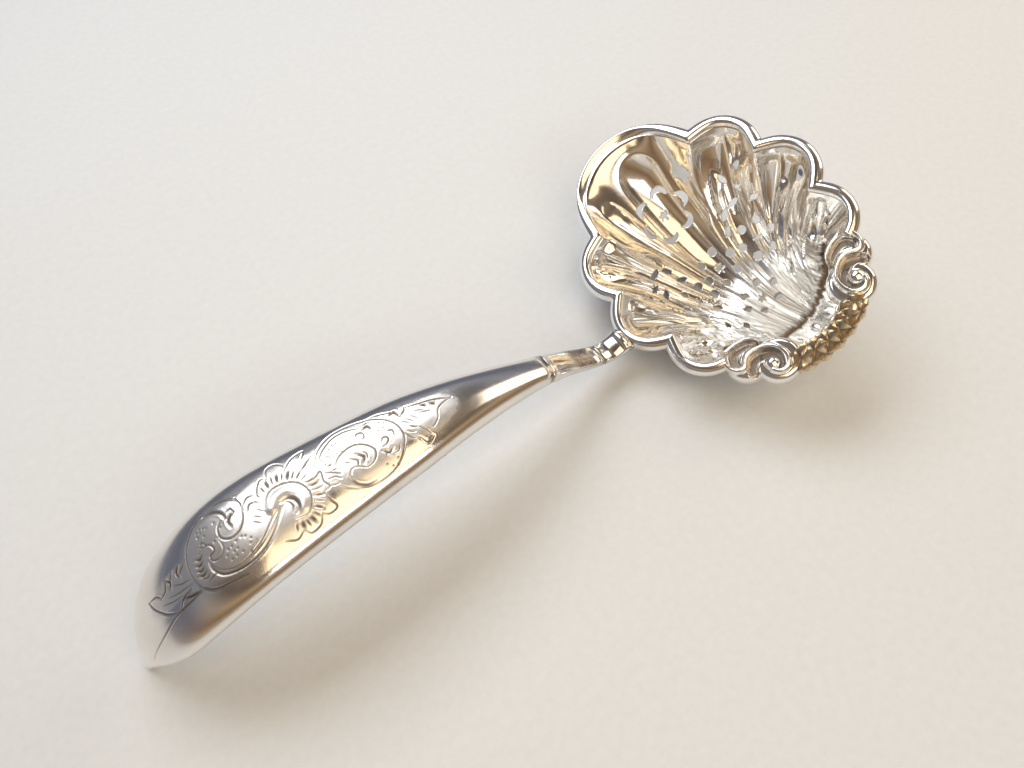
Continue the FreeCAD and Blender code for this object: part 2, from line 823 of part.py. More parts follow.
os.makedirs("parts", exist_ok=True)
for name, shape in make_pieces().items():
    shape.exportStep("parts/" + name + ".step")
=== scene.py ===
"""A silver sugar sifter on a pale table.

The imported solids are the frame. The bowl, its border, the scrolls, the hinge bar, the stem and the
handle's front are made again here with their chased, pierced and engraved detail. Lengths are in
millimetres and become metres when a mesh is made. The bowl's own axes are U towards its lip, V across
it and N up from its rim.
"""

import itertools
import math

import bpy
import numpy as np
from mathutils import Matrix


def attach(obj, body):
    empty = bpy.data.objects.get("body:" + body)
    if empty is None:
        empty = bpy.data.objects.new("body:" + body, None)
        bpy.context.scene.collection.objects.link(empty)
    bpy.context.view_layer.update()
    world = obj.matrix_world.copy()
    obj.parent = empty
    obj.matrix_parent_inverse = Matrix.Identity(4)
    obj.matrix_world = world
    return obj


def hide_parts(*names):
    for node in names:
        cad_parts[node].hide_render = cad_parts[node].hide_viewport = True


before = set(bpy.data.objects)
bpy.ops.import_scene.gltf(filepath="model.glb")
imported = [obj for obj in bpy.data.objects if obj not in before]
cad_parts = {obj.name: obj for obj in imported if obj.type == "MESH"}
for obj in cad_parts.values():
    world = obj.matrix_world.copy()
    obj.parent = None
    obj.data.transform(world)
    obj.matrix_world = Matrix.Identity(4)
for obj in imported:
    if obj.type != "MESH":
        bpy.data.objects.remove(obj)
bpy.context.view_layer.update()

metre = 0.001
tiny = 1e-12
spline_degree = 3

# Camera
camera_place = (-114.36, -70.01, 170.34)
camera_azimuth = -35.835
camera_elevation = 59.301
camera_roll = -0.538
lens = 27.42
sensor = 36.0
camera_clip = 0.01

# Bowl, as in the part's source
bowl_middle = (-0.089, 6.147, 23.788)
bowl_length = 81.7
bowl_width = 64.2
bowl_depth = 24.0
bowl_tilt = 28.0
bowl_swing = 3.5
low_line_share = -0.153
lip_reach_share = 1.090
hinge_reach_share = 0.759
side_reach_share = 0.872
dish_power = 1.95
lip_power_change = -0.30
hinge_power_change = 0.10
rim_pull_power = 5
pull_length = 4.0
flute_depth = 1.0
flute_turn = 10.0
flute_turn_share = 0.5
lobe_shares = ((0.552, 0.000, 0.448), (0.322, 0.548, 0.262), (-0.053, 0.670, 0.2595), (-0.417, 0.567, 0.235))
loop_shares = (-0.689, 0.520, 0.122)
volute_shares = (-0.816, 0.368, 0.137)
last_lobe_extra = 8.0
rim_width = 2.4
rim_height = 3.2
inner_drop_share = 0.34
seat_end_share = (0.80, 1.00)
cusp_inset_share = 1.35
cusp_blend_share = 0.22
hinge_half_span = 6.4
hinge_bar_width = 4.4
hinge_bow = 1.7
hinge_edge_drop = 1.5
scroll_edge_drop = 2.6
edge_height = 1.9
edge_blend_share = 0.20
rim_blend_share = 0.78
edge_hinge_share = 0.30
edge_notch_share = 0.50
edge_loop_shares = (0.75, 1.00)
edge_loop_degrees = (-20.0, 15.0)
cusp_edge_shares = (0.20, 0.50, 0.90)
scroll_wire_radius = 1.15
seat_overlap = 0.3
pole_rows = 12
pole_columns = 9
edge_steps = 5

# Fineness of the bowl's skins
bowl_sheet = 0.9
lobe_fineness = 100
row_fineness = 250


def basis(knots, degree, places):
    """Spline weights of every pole at the places: one row per place."""
    weights = [((places >= a) & (places < b)).astype(float) for a, b in zip(knots, knots[1:])]
    for step in range(1, degree + 1):
        raised = []
        for i in range(len(weights) - 1):
            low, high = knots[i], knots[i + step]
            next_low, next_high = knots[i + 1], knots[i + step + 1]
            total = np.zeros_like(places)
            if high > low:
                total += (places - low) / (high - low) * weights[i]
            if next_high > next_low:
                total += (next_high - places) / (next_high - next_low) * weights[i + 1]
            raised.append(total)
        weights = raised
    return np.stack(weights, axis=1)


def pole_weights(poles, places):
    """Weights of evenly knotted poles at places that count knot spans from the first end."""
    spans = poles - spline_degree
    inner_knots = [float(k) for k in range(spans + 1)]
    knots = [0.0] * spline_degree + inner_knots + [float(spans)] * spline_degree
    return basis(knots, spline_degree, np.clip(places, 0.0, spans * (1 - tiny)))


def even_weights(poles, count):
    """Weights of evenly knotted poles at evenly spaced places from end to end."""
    return pole_weights(poles, np.linspace(0.0, poles - spline_degree, count))


def smooth(x):
    x = np.clip(x, 0.0, 1.0)
    return x * x * (3 - 2 * x)


def spans_of(start, end, count):
    return [start + (end - start) * i / (count - 1) for i in range(count)]


def unit(v):
    return v / np.linalg.norm(v, axis=-1, keepdims=True)


# Bowl axes and plan

half_length = bowl_length / 2
half_width = bowl_width / 2
tilt = math.radians(bowl_tilt)
swing = math.radians(bowl_swing)
across_level = np.array([math.cos(tilt), 0.0, math.sin(tilt)])
axis_n = np.array([-math.sin(tilt), 0.0, math.cos(tilt)])
axis_v = across_level * math.cos(swing) + np.array([0.0, 1.0, 0.0]) * math.sin(swing)
axis_u = np.array([0.0, 1.0, 0.0]) * math.cos(swing) - across_level * math.sin(swing)


def circle_from(shares):
    return shares[0] * half_length, shares[1] * half_width, shares[2] * half_length


lobes = [circle_from(shares) for shares in lobe_shares]
loop_circle = circle_from(loop_shares)
volute_circle = circle_from(volute_shares)


def meeting(first, second, pick):
    """Where two circles of the plan cross: max picks the outer place, min the inner one."""
    along_u = second[0] - first[0]
    along_v = second[1] - first[1]
    distance = math.hypot(along_u, along_v)
    reach = (distance ** 2 + first[2] ** 2 - second[2] ** 2) / (2 * distance)
    rise = math.sqrt(first[2] ** 2 - reach ** 2)
    foot_u = first[0] + along_u * reach / distance
    foot_v = first[1] + along_v * reach / distance
    found = [(foot_u - side * along_v * rise / distance, foot_v + side * along_u * rise / distance)
             for side in (1, -1)]
    return pick(found, key=lambda place: math.hypot(*place))


cusps = [meeting(first, second, max) for first, second in zip(lobes, lobes[1:])]


def angle_on(circle, place):
    return math.atan2(place[1] - circle[1], place[0] - circle[0])


def on_circle(circle, angle):
    return circle[0] + circle[2] * math.cos(angle), circle[1] + circle[2] * math.sin(angle)


def mirrored(place):
    return place[0], -place[1]


def outward_at_cusp(index):
    ways = [angle_on(circle, cusps[index]) for circle in lobes[index:index + 2]]
    way = np.array([sum(math.cos(a) for a in ways), sum(math.sin(a) for a in ways)])
    return tuple(unit(way))


def lobe_line(index):
    """Outer and inner rim places along a lobe, from its end nearer the lip to the other one."""
    circle = lobes[index]
    if index < len(cusps):
        end = angle_on(circle, cusps[index])
        last_out = outward_at_cusp(index)
    else:
        end = angle_on(circle, meeting(circle, loop_circle, max)) + math.radians(last_lobe_extra)
        last_out = (math.cos(end), math.sin(end))
    if index == 0:
        start = -end
        first_out = mirrored(last_out)
    else:
        start = angle_on(circle, cusps[index - 1])
        first_out = outward_at_cusp(index - 1)
    line = []
    for share in spans_of(0.0, 1.0, pole_columns):
        angle = start + (end - start) * share
        outer = on_circle(circle, angle)
        near_first = float(smooth(1 - share / cusp_blend_share))
        near_last = float(smooth(1 - (1 - share) / cusp_blend_share))
        plain = 1 - near_first - near_last
        way = unit(np.array([math.cos(angle) * plain + first_out[0] * near_first + last_out[0] * near_last,
                             math.sin(angle) * plain + first_out[1] * near_first + last_out[1] * near_last]))
        at_cusp = near_first + (near_last if index < len(cusps) else 0.0)
        inset = rim_width * (1 + (cusp_inset_share - 1) * at_cusp)
        line.append((outer, (outer[0] - way[0] * inset, outer[1] - way[1] * inset)))
    return line


def all_lobe_lines():
    plus = [lobe_line(index) for index in range(len(lobes))]
    minus = [[(mirrored(outer), mirrored(inner)) for outer, inner in reversed(line)]
             for line in reversed(plus[1:])]
    return minus + plus


inner_drop = inner_drop_share * rim_height
hinge_line_u = hinge_bar_width - half_length


def dish_height(u, v):
    """Height of the plain dish's inside below the rim plane."""
    away = u - low_line_share * half_length
    reach = np.where(away > 0, lip_reach_share, hinge_reach_share) * half_length
    ratio = np.hypot(away / reach, v / (side_reach_share * half_width)) + tiny
    lean = away / reach / ratio
    power = dish_power + np.where(lean > 0, lip_power_change * lean, -hinge_power_change * lean)
    return -inner_drop - (bowl_depth - inner_drop) * (1 - ratio ** power)


def hinge_place(share):
    return hinge_line_u + hinge_bow * share ** 2, share * hinge_half_span


def edge_path():
    """Shares of the bowl's edge at the hinge with their places and their drop below the rim."""
    path = [(share * edge_hinge_share,) + hinge_place(share) + (hinge_edge_drop,)
            for share in spans_of(0.0, 1.0, edge_steps)]
    trimmed = [(circle[0], circle[1], circle[2] - scroll_wire_radius / 2 - seat_overlap)
               for circle in (volute_circle, loop_circle)]
    path.append((edge_notch_share,) + meeting(*trimmed, min) + (scroll_edge_drop,))
    for share, turn in zip(spans_of(*edge_loop_shares, edge_steps), spans_of(*edge_loop_degrees, edge_steps)):
        path.append((share,) + on_circle(trimmed[1], math.radians(turn)) + (scroll_edge_drop,))
    return np.array(path)


edge_table = edge_path()


def edge_place(share):
    side = 1 if share > 0 else -1
    u, v, drop = [float(np.interp(abs(share), edge_table[:, 0], edge_table[:, k])) for k in (1, 2, 3)]
    return u, side * v, drop


def turning_place(rim_pair, edge_share):
    outer, inner = np.array(rim_pair[0]), np.array(rim_pair[1])
    start = np.array(edge_place(edge_share)[:2])
    turn = min(flute_turn, flute_turn_share * np.linalg.norm(inner - start))
    return inner - unit(outer - inner) * turn


def dish_normal(u, v, step):
    """The plain dish's upward normal, from its heights a step away on each side."""
    slope_u = (dish_height(u + step, v) - dish_height(u - step, v)) / (2 * step)
    slope_v = (dish_height(u, v + step) - dish_height(u, v - step)) / (2 * step)
    return unit(np.array([-float(slope_u), -float(slope_v), 1.0]))


def lobe_poles(line, first_share, last_share):
    """Inside and outside poles of one lobe's part of the bowl, in the bowl's own axes."""
    step = rim_width / half_length
    first_turning = turning_place(line[0], first_share)
    last_turning = turning_place(line[-1], last_share)
    poles = np.zeros((2, pole_rows, pole_columns, 3))
    for i, row in enumerate(spans_of(0.0, 1.0, pole_rows)):
        near_rim = float(smooth((row - rim_blend_share) / (1 - rim_blend_share)))
        near_edge = float(smooth(1 - row / edge_blend_share))
        for j, column in enumerate(spans_of(0.0, 1.0, pole_columns)):
            start = edge_place(first_share + (last_share - first_share) * column)
            rim_place = np.array(line[j][1])
            turning = first_turning + (last_turning - first_turning) * column
            edge_point = np.array(start[:2])
            place = (1 - row) ** 2 * edge_point + 2 * row * (1 - row) * turning + row ** 2 * rim_place
            distance = np.linalg.norm(rim_place - edge_point)
            power = max(1.0, min(rim_pull_power, distance / pull_length))
            height = dish_height(*place)
            height += (-inner_drop - dish_height(*rim_place)) * row ** power
            height += (-start[2] - dish_height(*edge_point)) * (1 - row) ** power
            height -= flute_depth * math.sin(math.pi * column) * math.sin(math.pi * row)
            here = np.array([*place, height])
            out_way = np.array(line[j][0]) - rim_place
            seat_drop = inner_drop - rim_height * seat_end_share[1]
            to_rim_end = np.array([*(out_way * seat_end_share[0]), seat_drop])
            to_edge_end = np.array([0.0, 0.0, -edge_height])
            through = dish_normal(*place, step) * bowl_sheet
            poles[0, i, j] = here
            poles[1, i, j] = (here - through * (1 - near_rim - near_edge)
                              + to_rim_end * near_rim + to_edge_end * near_edge)
    return poles


lines = all_lobe_lines()
edge_shares = [-1.0] + [-share for share in reversed(cusp_edge_shares)] + list(cusp_edge_shares) + [1.0]


def bowl_grids():
    """The plain inside and outside of the whole bowl as fine grids: rows from the hinge to the rim."""
    along = even_weights(pole_rows, row_fineness)
    across = even_weights(pole_columns, lobe_fineness)
    strips = []
    for line, first, last in zip(lines, edge_shares, edge_shares[1:]):
        strip = np.einsum("ri,sijk,cj->srck", along, lobe_poles(line, first, last), across)
        strips.append(strip if not strips else strip[:, :, 1:])
    return np.concatenate(strips, axis=2)


def raw_normals(grid):
    normals = np.cross(np.gradient(grid, axis=0), np.gradient(grid, axis=1))
    return normals / (np.linalg.norm(normals, axis=-1, keepdims=True) + tiny)


def normals_up(grid):
    """Normals of a grid of points, each turned to point upwards."""
    normals = raw_normals(grid)
    return normals * np.sign(normals[..., 2:] + tiny)


def normals_out(grid):
    """Normals of a grid of points, all on the side that mostly faces up."""
    normals = raw_normals(grid)
    return normals * np.sign(np.median(normals[..., 2]))


inside, outside = bowl_grids()
inside_normals = normals_up(inside)


def to_world(places):
    """Places in the frame from places along the bowl's own axes."""
    return np.array(bowl_middle) + np.asarray(places, float) @ np.stack([axis_u, axis_v, axis_n])


# Meshes


def add_mesh(name, points, faces, smooth_shading=True):
    """An object from points in millimetres."""
    mesh = bpy.data.meshes.new(name)
    sizes = np.fromiter(map(len, faces), int)
    corners = np.fromiter(itertools.chain.from_iterable(faces), int)
    mesh.vertices.add(len(points))
    mesh.vertices.foreach_set("co", (np.asarray(points, float) * metre).ravel())
    mesh.loops.add(len(corners))
    mesh.loops.foreach_set("vertex_index", corners)
    mesh.polygons.add(len(sizes))
    mesh.polygons.foreach_set("loop_start", np.cumsum(sizes) - sizes)
    mesh.polygons.foreach_set("use_smooth", np.full(len(sizes), smooth_shading))
    mesh.update(calc_edges=True)
    mesh.validate()
    obj = bpy.data.objects.new(name, mesh)
    bpy.context.scene.collection.objects.link(obj)
    return obj


def grid_faces(rows, columns, offset=0, flip=False, wrap=False):
    """Quads of a grid of points; wrap closes its columns."""
    index = np.arange(rows * columns).reshape(rows, columns) + offset
    if wrap:
        index = np.concatenate([index, index[:, :1]], axis=1)
    corners = (index[:-1, :-1], index[:-1, 1:], index[1:, 1:], index[1:, :-1])
    quads = np.stack([corner.ravel() for corner in corners], axis=-1)
    return quads[:, ::-1] if flip else quads


def tube_faces(rows, columns):
    """Faces of a closed tube: its wrapped grid and a cap at each end."""
    faces = [tuple(face) for face in grid_faces(rows, columns, wrap=True)]
    faces.append(tuple(range(columns)))
    faces.append(tuple((rows - 1) * columns + i for i in reversed(range(columns))))
    return faces


def store_shade(obj, values, name="darkening_and_painted_shade"):
    """Keeps a number per point for the material: how dark it is there, in places painted shade, or how satin
    it is.
    """
    layer = obj.data.attributes.new(name, "FLOAT", "POINT")
    layer.data.foreach_set("value", np.asarray(values, float))


noise_cells = 64
path_fineness = 24
very_far = 1e9


def fair_noise(x, y, seed):
    """Smooth noise between minus 1 and 1 over a plane."""
    generator = np.random.default_rng(seed)
    table = generator.uniform(-1.0, 1.0, (noise_cells, noise_cells))
    x0 = np.floor(x).astype(int)
    y0 = np.floor(y).astype(int)
    fx = smooth(x - x0)
    fy = smooth(y - y0)
    low, high = [table[x0 % noise_cells, (y0 + j) % noise_cells] * (1 - fx)
                 + table[(x0 + 1) % noise_cells, (y0 + j) % noise_cells] * fx for j in (0, 1)]
    return low * (1 - fy) + high * fy


def path_points(places, count=path_fineness):
    """A smooth line through a few places."""
    places = np.asarray(places, float)
    if len(places) == 2:
        return places[0] + (places[1] - places[0]) * np.linspace(0.0, 1.0, count)[:, None]
    padded = np.vstack([2 * places[0] - places[1], places, 2 * places[-1] - places[-2]])
    result = []
    for i in range(len(places) - 1):
        p0, p1, p2, p3 = padded[i:i + 4]
        steps = max(spline_degree, count // (len(places) - 1))
        t = np.linspace(0.0, 1.0, steps, endpoint=i == len(places) - 2)[:, None]
        result.append(0.5 * (2 * p1 + (p2 - p0) * t + (2 * p0 - 5 * p1 + 4 * p2 - p3) * t ** 2
                             + (3 * p1 - p0 - 3 * p2 + p3) * t ** 3))
    return np.vstack(result)


def near_path(x, y, path):
    """For each place of a plane: its distance to a line, its share along it and the side it lies on."""
    best = np.full(x.shape, very_far)
    share = np.zeros(x.shape)
    side = np.ones(x.shape)
    count = len(path) - 1
    for i in range(count):
        ax, ay = path[i][:2]
        dx, dy = path[i + 1][:2] - path[i][:2]
        size = dx * dx + dy * dy + tiny
        t = np.clip(((x - ax) * dx + (y - ay) * dy) / size, 0.0, 1.0)
        off_x = x - ax - t * dx
        off_y = y - ay - t * dy
        distance = np.hypot(off_x, off_y)
        nearer = distance < best
        best = np.where(nearer, distance, best)
        share = np.where(nearer, (i + t) / count, share)
        side = np.where(nearer, np.sign(dx * off_y - dy * off_x), side)
    return best, share, side


# Chasing inside the bowl: places are U, V in its plan, from the leaf end to the root at the hinge

rib_height = 1.05
rib_softness = 1.4
far_end_lift = 0.12
near_end_lift = 0.42
ridge_height = 0.60
channel_depth = 1.15
root_width_share = 0.26
root_height_share = 0.40
chase_depth = 0.16
ragged_depth = 0.85
ragged_width = 0.60
rim_fade_share = 0.965
dimple_radius = 1.3
dimple_depth = 0.34
flare_rise = 1.6
flare_reach = 5.5
flare_fade_share = 0.30
under_plain_share = 0.16

# How the relief narrows, rises and fades along a rib or a hollow and from the hinge to the rim
hollow_taper_power = 1.2
hollow_shoaling = 0.7
hollow_end_rate = 3.0
rib_taper_rate = 1.2
rib_start_rate = 4.0
rib_cover_rate = 2.5
ridge_taper = 0.3
ridge_fall = 0.5
ridge_clearing = 0.6
lined_end_share = 0.50
lined_end_rate = 3.4
chased_end_share = 0.97
chased_end_rate = 6.0
rim_fade_lag = 0.02
hinge_fade_share = 0.02

# Veins along the ribs
veins_across = 2.4
vein_share = 0.9
vein_delay = 0.3
vein_wander = 2.2
vein_cells = 7.0
vein_seed = 3

# Chased lines: cells across a lobe, cells from the hinge to the rim and the pattern's number
broad_lines = (18, 4, 1)
close_lines = (33, 7, 2)
line_bends = (5, 6, 5)
close_line_share = 0.7
line_bend_share = 0.6
lined_share_between = 0.2

# Ragged cut before the hinge: its wander by size, rate and the pattern's number
rag_wander = ((0.45, 1.3, 9), (0.30, 3.1, 11))
rag_fineness = 60
rag_shelf_width = 0.8
rag_half_span = 21.0
rag_end_fade = 4.0

# Darkening in the cuts, the deeper the darker, and painted shade in the ragged cut before the hinge
cut_darkening = 0.6
cut_darkening_start = 0.2
rag_painted_shade = 0.95

# Raised leaf-ended ribs: half width at the end, then the places
far_ribs = (
    (2.7, (24.2, 12.2), (18.0, 10.6), (12.0, 8.8), (5.0, 6.3), (-12.0, 2.8), (-27.4, 2.2)),
    (1.8, (14.9, 17.0), (10.8, 12.9), (3.4, 9.2), (-6.4, 6.3), (-27.0, 3.4)),
    (2.7, (11.4, 22.6), (8.8, 19.6), (3.2, 15.4), (-2.6, 12.2), (-14.0, 7.6), (-26.6, 4.8)),
    (1.2, (-2.2, 24.6), (-2.6, 21.4), (-4.4, 17.8), (-10.0, 12.6), (-26.4, 6.0)),
    (1.7, (-5.2, 28.0), (-5.2, 24.5), (-7.0, 19.0), (-12.4, 13.0), (-26.0, 7.2)),
    (1.3, (-8.2, 26.0), (-8.2, 22.8), (-10.2, 18.2), (-14.6, 13.4), (-25.6, 8.4)),
    (1.2, (-11.3, 25.2), (-12.1, 21.3), (-13.9, 17.0), (-18.0, 12.6), (-25.0, 9.6)),
    (1.7, (-17.2, 24.6), (-16.8, 21.9), (-18.3, 18.0), (-21.4, 14.0), (-24.4, 11.4)),
)
near_ribs = (
    (2.5, (27.4, -8.6), (22.9, -7.6), (15.8, -6.2), (8.7, -4.8), (-12.0, -1.6), (-27.4, -1.0)),
    (1.7, (17.6, -11.8), (11.0, -9.2), (2.0, -6.6), (-12.0, -3.4), (-27.2, -2.2)),
    (2.5, (21.0, -17.2), (16.2, -14.9), (9.0, -12.2), (0.0, -9.2), (-12.0, -5.4), (-27.0, -3.4)),
    (2.2, (14.6, -21.7), (11.2, -18.4), (5.2, -14.8), (-3.0, -11.2), (-14.0, -6.8), (-26.8, -4.6)),
    (2.3, (3.6, -23.8), (0.0, -20.8), (-5.0, -16.8), (-11.0, -12.4), (-26.4, -5.8)),
    (1.7, (-4.4, -24.8), (-5.6, -21.4), (-8.8, -17.0), (-14.0, -12.4), (-26.0, -7.0)),
    (1.4, (-11.2, -24.7), (-11.8, -21.0), (-14.2, -16.4), (-18.8, -12.2), (-25.2, -8.8)),
    (1.7, (-16.8, -24.0), (-16.6, -21.2), (-18.4, -17.4), (-21.4, -13.6), (-24.4, -11.0)),
)

# Smooth hollows: half width at the rim end, depth share, then the places
hollows = (
    (5.6, 1.0, (28.0, 3.0), (19.0, 1.4), (8.0, 0.2), (-4.0, 0.2), (-18.0, 0.0)),
    (4.8, 0.8, (20.6, 20.4), (15.4, 15.4), (9.0, 11.0)),
    (3.4, 0.8, (15.8, 25.4), (11.6, 18.6), (5.6, 13.4)),
    (3.6, 1.0, (5.6, 27.8), (1.6, 23.6), (-2.6, 17.4)),
    (2.6, 0.8, (-0.4, 28.6), (-1.8, 24.4), (-4.4, 19.6)),
    (2.3, 0.8, (-13.8, 24.6), (-14.9, 21.6), (-17.4, 16.6)),
    (2.0, 0.7, (-20.6, 23.8), (-20.6, 20.4), (-22.2, 16.8)),
    (4.4, 0.8, (21.6, -20.4), (17.4, -17.8), (13.0, -14.8)),
    (3.6, 0.9, (7.4, -25.8), (4.2, -22.4), (-1.0, -17.6)),
    (3.0, 0.8, (0.6, -27.6), (-2.4, -23.0), (-6.4, -18.4)),
    (2.3, 0.8, (-13.8, -24.0), (-14.9, -20.6), (-17.4, -16.0)),
    (2.0, 0.7, (-20.6, -23.4), (-20.6, -20.0), (-22.2, -16.4)),
)

# Thin bright ridges that run in from the cusps and part the hollows: half width, then the places
ridges = (
    (0.60, (24.2, 15.6), (19.5, 13.4), (11.5, 10.1), (4.8, 7.6), (-5.0, 5.2), (-20.0, 2.8)),
    (0.50, (8.8, 25.8), (3.5, 21.2), (-2.9, 16.4), (-11.0, 10.8), (-22.0, 6.2)),
    (0.40, (17.6, 24.2), (13.8, 21.1), (10.6, 18.8)),
    (0.40, (3.5, 29.4), (-0.1, 25.2), (-2.2, 21.1), (-5.6, 16.0)),
    (0.45, (-9.6, 26.0), (-11.0, 22.6), (-13.0, 18.4), (-17.6, 13.2)),
    (0.60, (24.6, -15.8), (20.2, -14.0), (12.6, -11.0), (4.0, -8.0), (-6.0, -5.0), (-20.0, -2.6)),
    (0.50, (8.8, -25.6), (3.5, -21.0), (-2.9, -16.0), (-11.0, -10.4), (-22.0, -5.6)),
    (0.40, (17.6, -24.0), (13.8, -20.6), (10.6, -17.8)),
    (0.45, (-9.6, -26.0), (-11.0, -22.2), (-13.0, -18.0), (-17.6, -12.8)),
)

ragged_line = ((-21.0, 17.0), (-22.9, 14.6), (-25.2, 11.6), (-27.6, 7.6), (-28.8, 3.6), (-29.0, 0.0),
               (-28.8, -3.6), (-27.6, -7.6), (-25.2, -11.6), (-22.9, -14.6), (-21.0, -17.0))
cove_dimples = ((-34.1, 4.0), (-33.8, -0.4), (-32.4, 7.4), (-33.4, -5.0))


def cross_section(distance, width):
    return np.sqrt(np.clip(1 - (distance / width) ** 2, 0.0, 1.0))


def hollow_relief(u, v):
    """How deep the smooth hollows lie and how plain the silver is there."""
    sunk = np.zeros(u.shape)
    plain = np.zeros(u.shape)
    for width, depth_share, *places in hollows:
        distance, share, _ = near_path(u, v, path_points(places))
        here = width * (1 - (1 - root_width_share) * share ** hollow_taper_power)
        hollow = np.clip(1 - (distance / here) ** 2, 0.0, 1.0)
        sunk = np.maximum(sunk, channel_depth * depth_share * hollow * (1 - hollow_shoaling * share))
        plain = np.maximum(plain, hollow * smooth((1 - share) * hollow_end_rate))
    return sunk, plain


def rib_relief(u, v):
    """How high the ribs stand, the veins along them and how far they are chased."""
    tops = np.zeros(u.shape)
    veins = np.zeros(u.shape)
    ribbed = np.zeros(u.shape)
    lifted = [(far_end_lift, *rib) for rib in far_ribs] + [(near_end_lift, *rib) for rib in near_ribs]
    for end_lift, width, *places in lifted:
        distance, share, side = near_path(u, v, path_points(places))
        here = width * (1 - (1 - root_width_share) * smooth(share * rib_taper_rate))
        body = cross_section(distance, here) ** rib_softness
        started = smooth(end_lift + share * rib_start_rate)
        height = rib_height * (1 - (1 - root_height_share) * share) * started * body
        chased = body * smooth(share * rib_start_rate - vein_delay)
        lateral = distance * side / here
        wander = vein_wander * fair_noise(share * vein_cells, lateral, vein_seed)
        wave = np.cos(lateral * math.pi * veins_across + wander)
        veins = np.where(height > tops, vein_share * wave * chased, veins)
        tops = np.maximum(tops, height)
        ribbed = np.maximum(ribbed, chased)
    return tops, veins, ribbed


def chased_lines(lobe_share, row_share):
    """Fine lines that run from the hinge to the rim, between minus and plus one or so."""
    def pattern(cells, bend=0.0):
        across_lobe, to_rim, seed = cells
        return fair_noise(lobe_share * across_lobe + bend, row_share * to_rim, seed)

    bend = line_bend_share * pattern(line_bends)
    return pattern(broad_lines, bend) + close_line_share * pattern(close_lines)


def hinge_rag(u, v):
    """The ragged cut before the hinge, and a share that is one inside it and none past it."""
    wander = sum(size * fair_noise(v * rate, v * 0, seed) for size, rate, seed in rag_wander)
    distance, _, side = near_path(u + wander, v, path_points(ragged_line, rag_fineness))
    rows, columns = u.shape
    inwards = np.sign(side * side[rows // 2, columns // 2])
    within = smooth(distance * inwards / rag_shelf_width + 1 / 2)
    rag = np.exp(-(distance / ragged_width) ** 2) * smooth((rag_half_span - np.abs(v)) / rag_end_fade)
    return rag, within


def bowl_relief():
    """Coarse and fine relief of the bowl's inside, how dark its cuts are and how matt its chasing is."""
    u = inside[..., 0]
    v = inside[..., 1]
    rows, columns = u.shape
    row_share = np.linspace(0.0, 1.0, rows)[:, None] * np.ones((1, columns))
    lobe_share = np.linspace(0.0, len(lines), columns)[None, :] * np.ones((rows, 1))
    sunk, plain = hollow_relief(u, v)
    tops, veins, ribbed = rib_relief(u, v)
    cover = smooth(tops / rib_height * rib_cover_rate)
    coarse = tops - sunk * (1 - cover)
    plain = plain * (1 - cover)
    for width, *places in ridges:
        distance, share, _ = near_path(u, v, path_points(places))
        crest = np.exp(-(distance / (width * (1 - ridge_taper * share))) ** 2)
        coarse = coarse * (1 - ridge_clearing * crest) + ridge_height * crest * (1 - ridge_fall * share)
    near_hinge = smooth((lined_end_share - row_share) * lined_end_rate)
    before_rim = smooth((chased_end_share - row_share) * chased_end_rate)
    strength = np.clip(ribbed + near_hinge, 0.0, 1.0) * (1 - plain) * before_rim
    lined_share = lined_share_between + (1 - lined_share_between) * near_hinge
    fine = chase_depth * (veins + chased_lines(lobe_share, row_share) * lined_share) * strength
    rag, within = hinge_rag(u, v)
    fade = smooth((rim_fade_share + rim_fade_lag - row_share) / (1 - rim_fade_share))
    fade = fade * smooth(row_share / hinge_fade_share)
    coarse *= fade * within
    fine *= fade * within
    fine -= ragged_depth * rag * fade
    for centre_u, centre_v in cove_dimples:
        away = np.hypot(u - centre_u, v - centre_v)
        fine -= dimple_depth * smooth(1 - away / dimple_radius)
    # Darker the deeper a cut sinks; on top of that, painted shade along the ragged cut before the hinge
    dark = cut_darkening * np.clip(-fine / chase_depth - cut_darkening_start, 0.0, 1.0) * within
    dark = np.clip(dark + rag * rag_painted_shade, 0.0, 1.0)
    return coarse, fine, dark, strength * within


# Piercings. Rosettes: their centre in the bowl's plan, the ring's radius, its first petal's turn and the
# petals' kind. Single holes: centre, turn and kind.

hole_radius = 1.14
star_radius = 1.75
star_waist = 0.52
lens_half_length = 1.8
lens_half_width = 0.75
crescent_radius = 2.15
crescent_bite = 1.45
lip_ring = 5.6
side_ring = 4.75
star_tips = 6
star_tip_power = 1.6
petal_count = 6
hole_reach = 4.0
hole_step = 0.05
open_field = 9.0
calm_start = -0.2
calm_width = 0.9
under_shade = 0.4
rosettes = (
    (19.0, 0.7, lip_ring, 30.0, "crescent"),
    (0.3, 0.3, side_ring, 24.0, "hole"),
    (-14.4, 0.8, side_ring, 30.0, "hole"),
    (-3.0, 11.8, side_ring, -8.0, "hole"),
    (-3.6, -10.4, side_ring, -25.0, "hole"),
)
single_holes = (
    (8.1, 17.3, 0.0, "star"), (3.0, 18.0, 120.0, "lens"), (12.4, 16.2, 20.0, "lens"),
    (7.3, 10.9, 60.0, "lens"), (7.2, 13.9, 100.0, "lens"), (4.2, 8.6, 60.0, "lens"),
    (-12.3, 13.1, 60.0, "lens"), (-16.4, 11.0, 50.0, "lens"),
    (6.0, -16.0, 10.0, "star"), (9.4, -13.4, 60.0, "lens"), (3.2, -15.0, 30.0, "lens"),
    (8.4, -10.6, 130.0, "lens"), (4.4, -9.4, 110.0, "lens"),
    (-14.0, -11.0, 30.0, "lens"), (-18.1, -8.2, 30.0, "lens"),
)


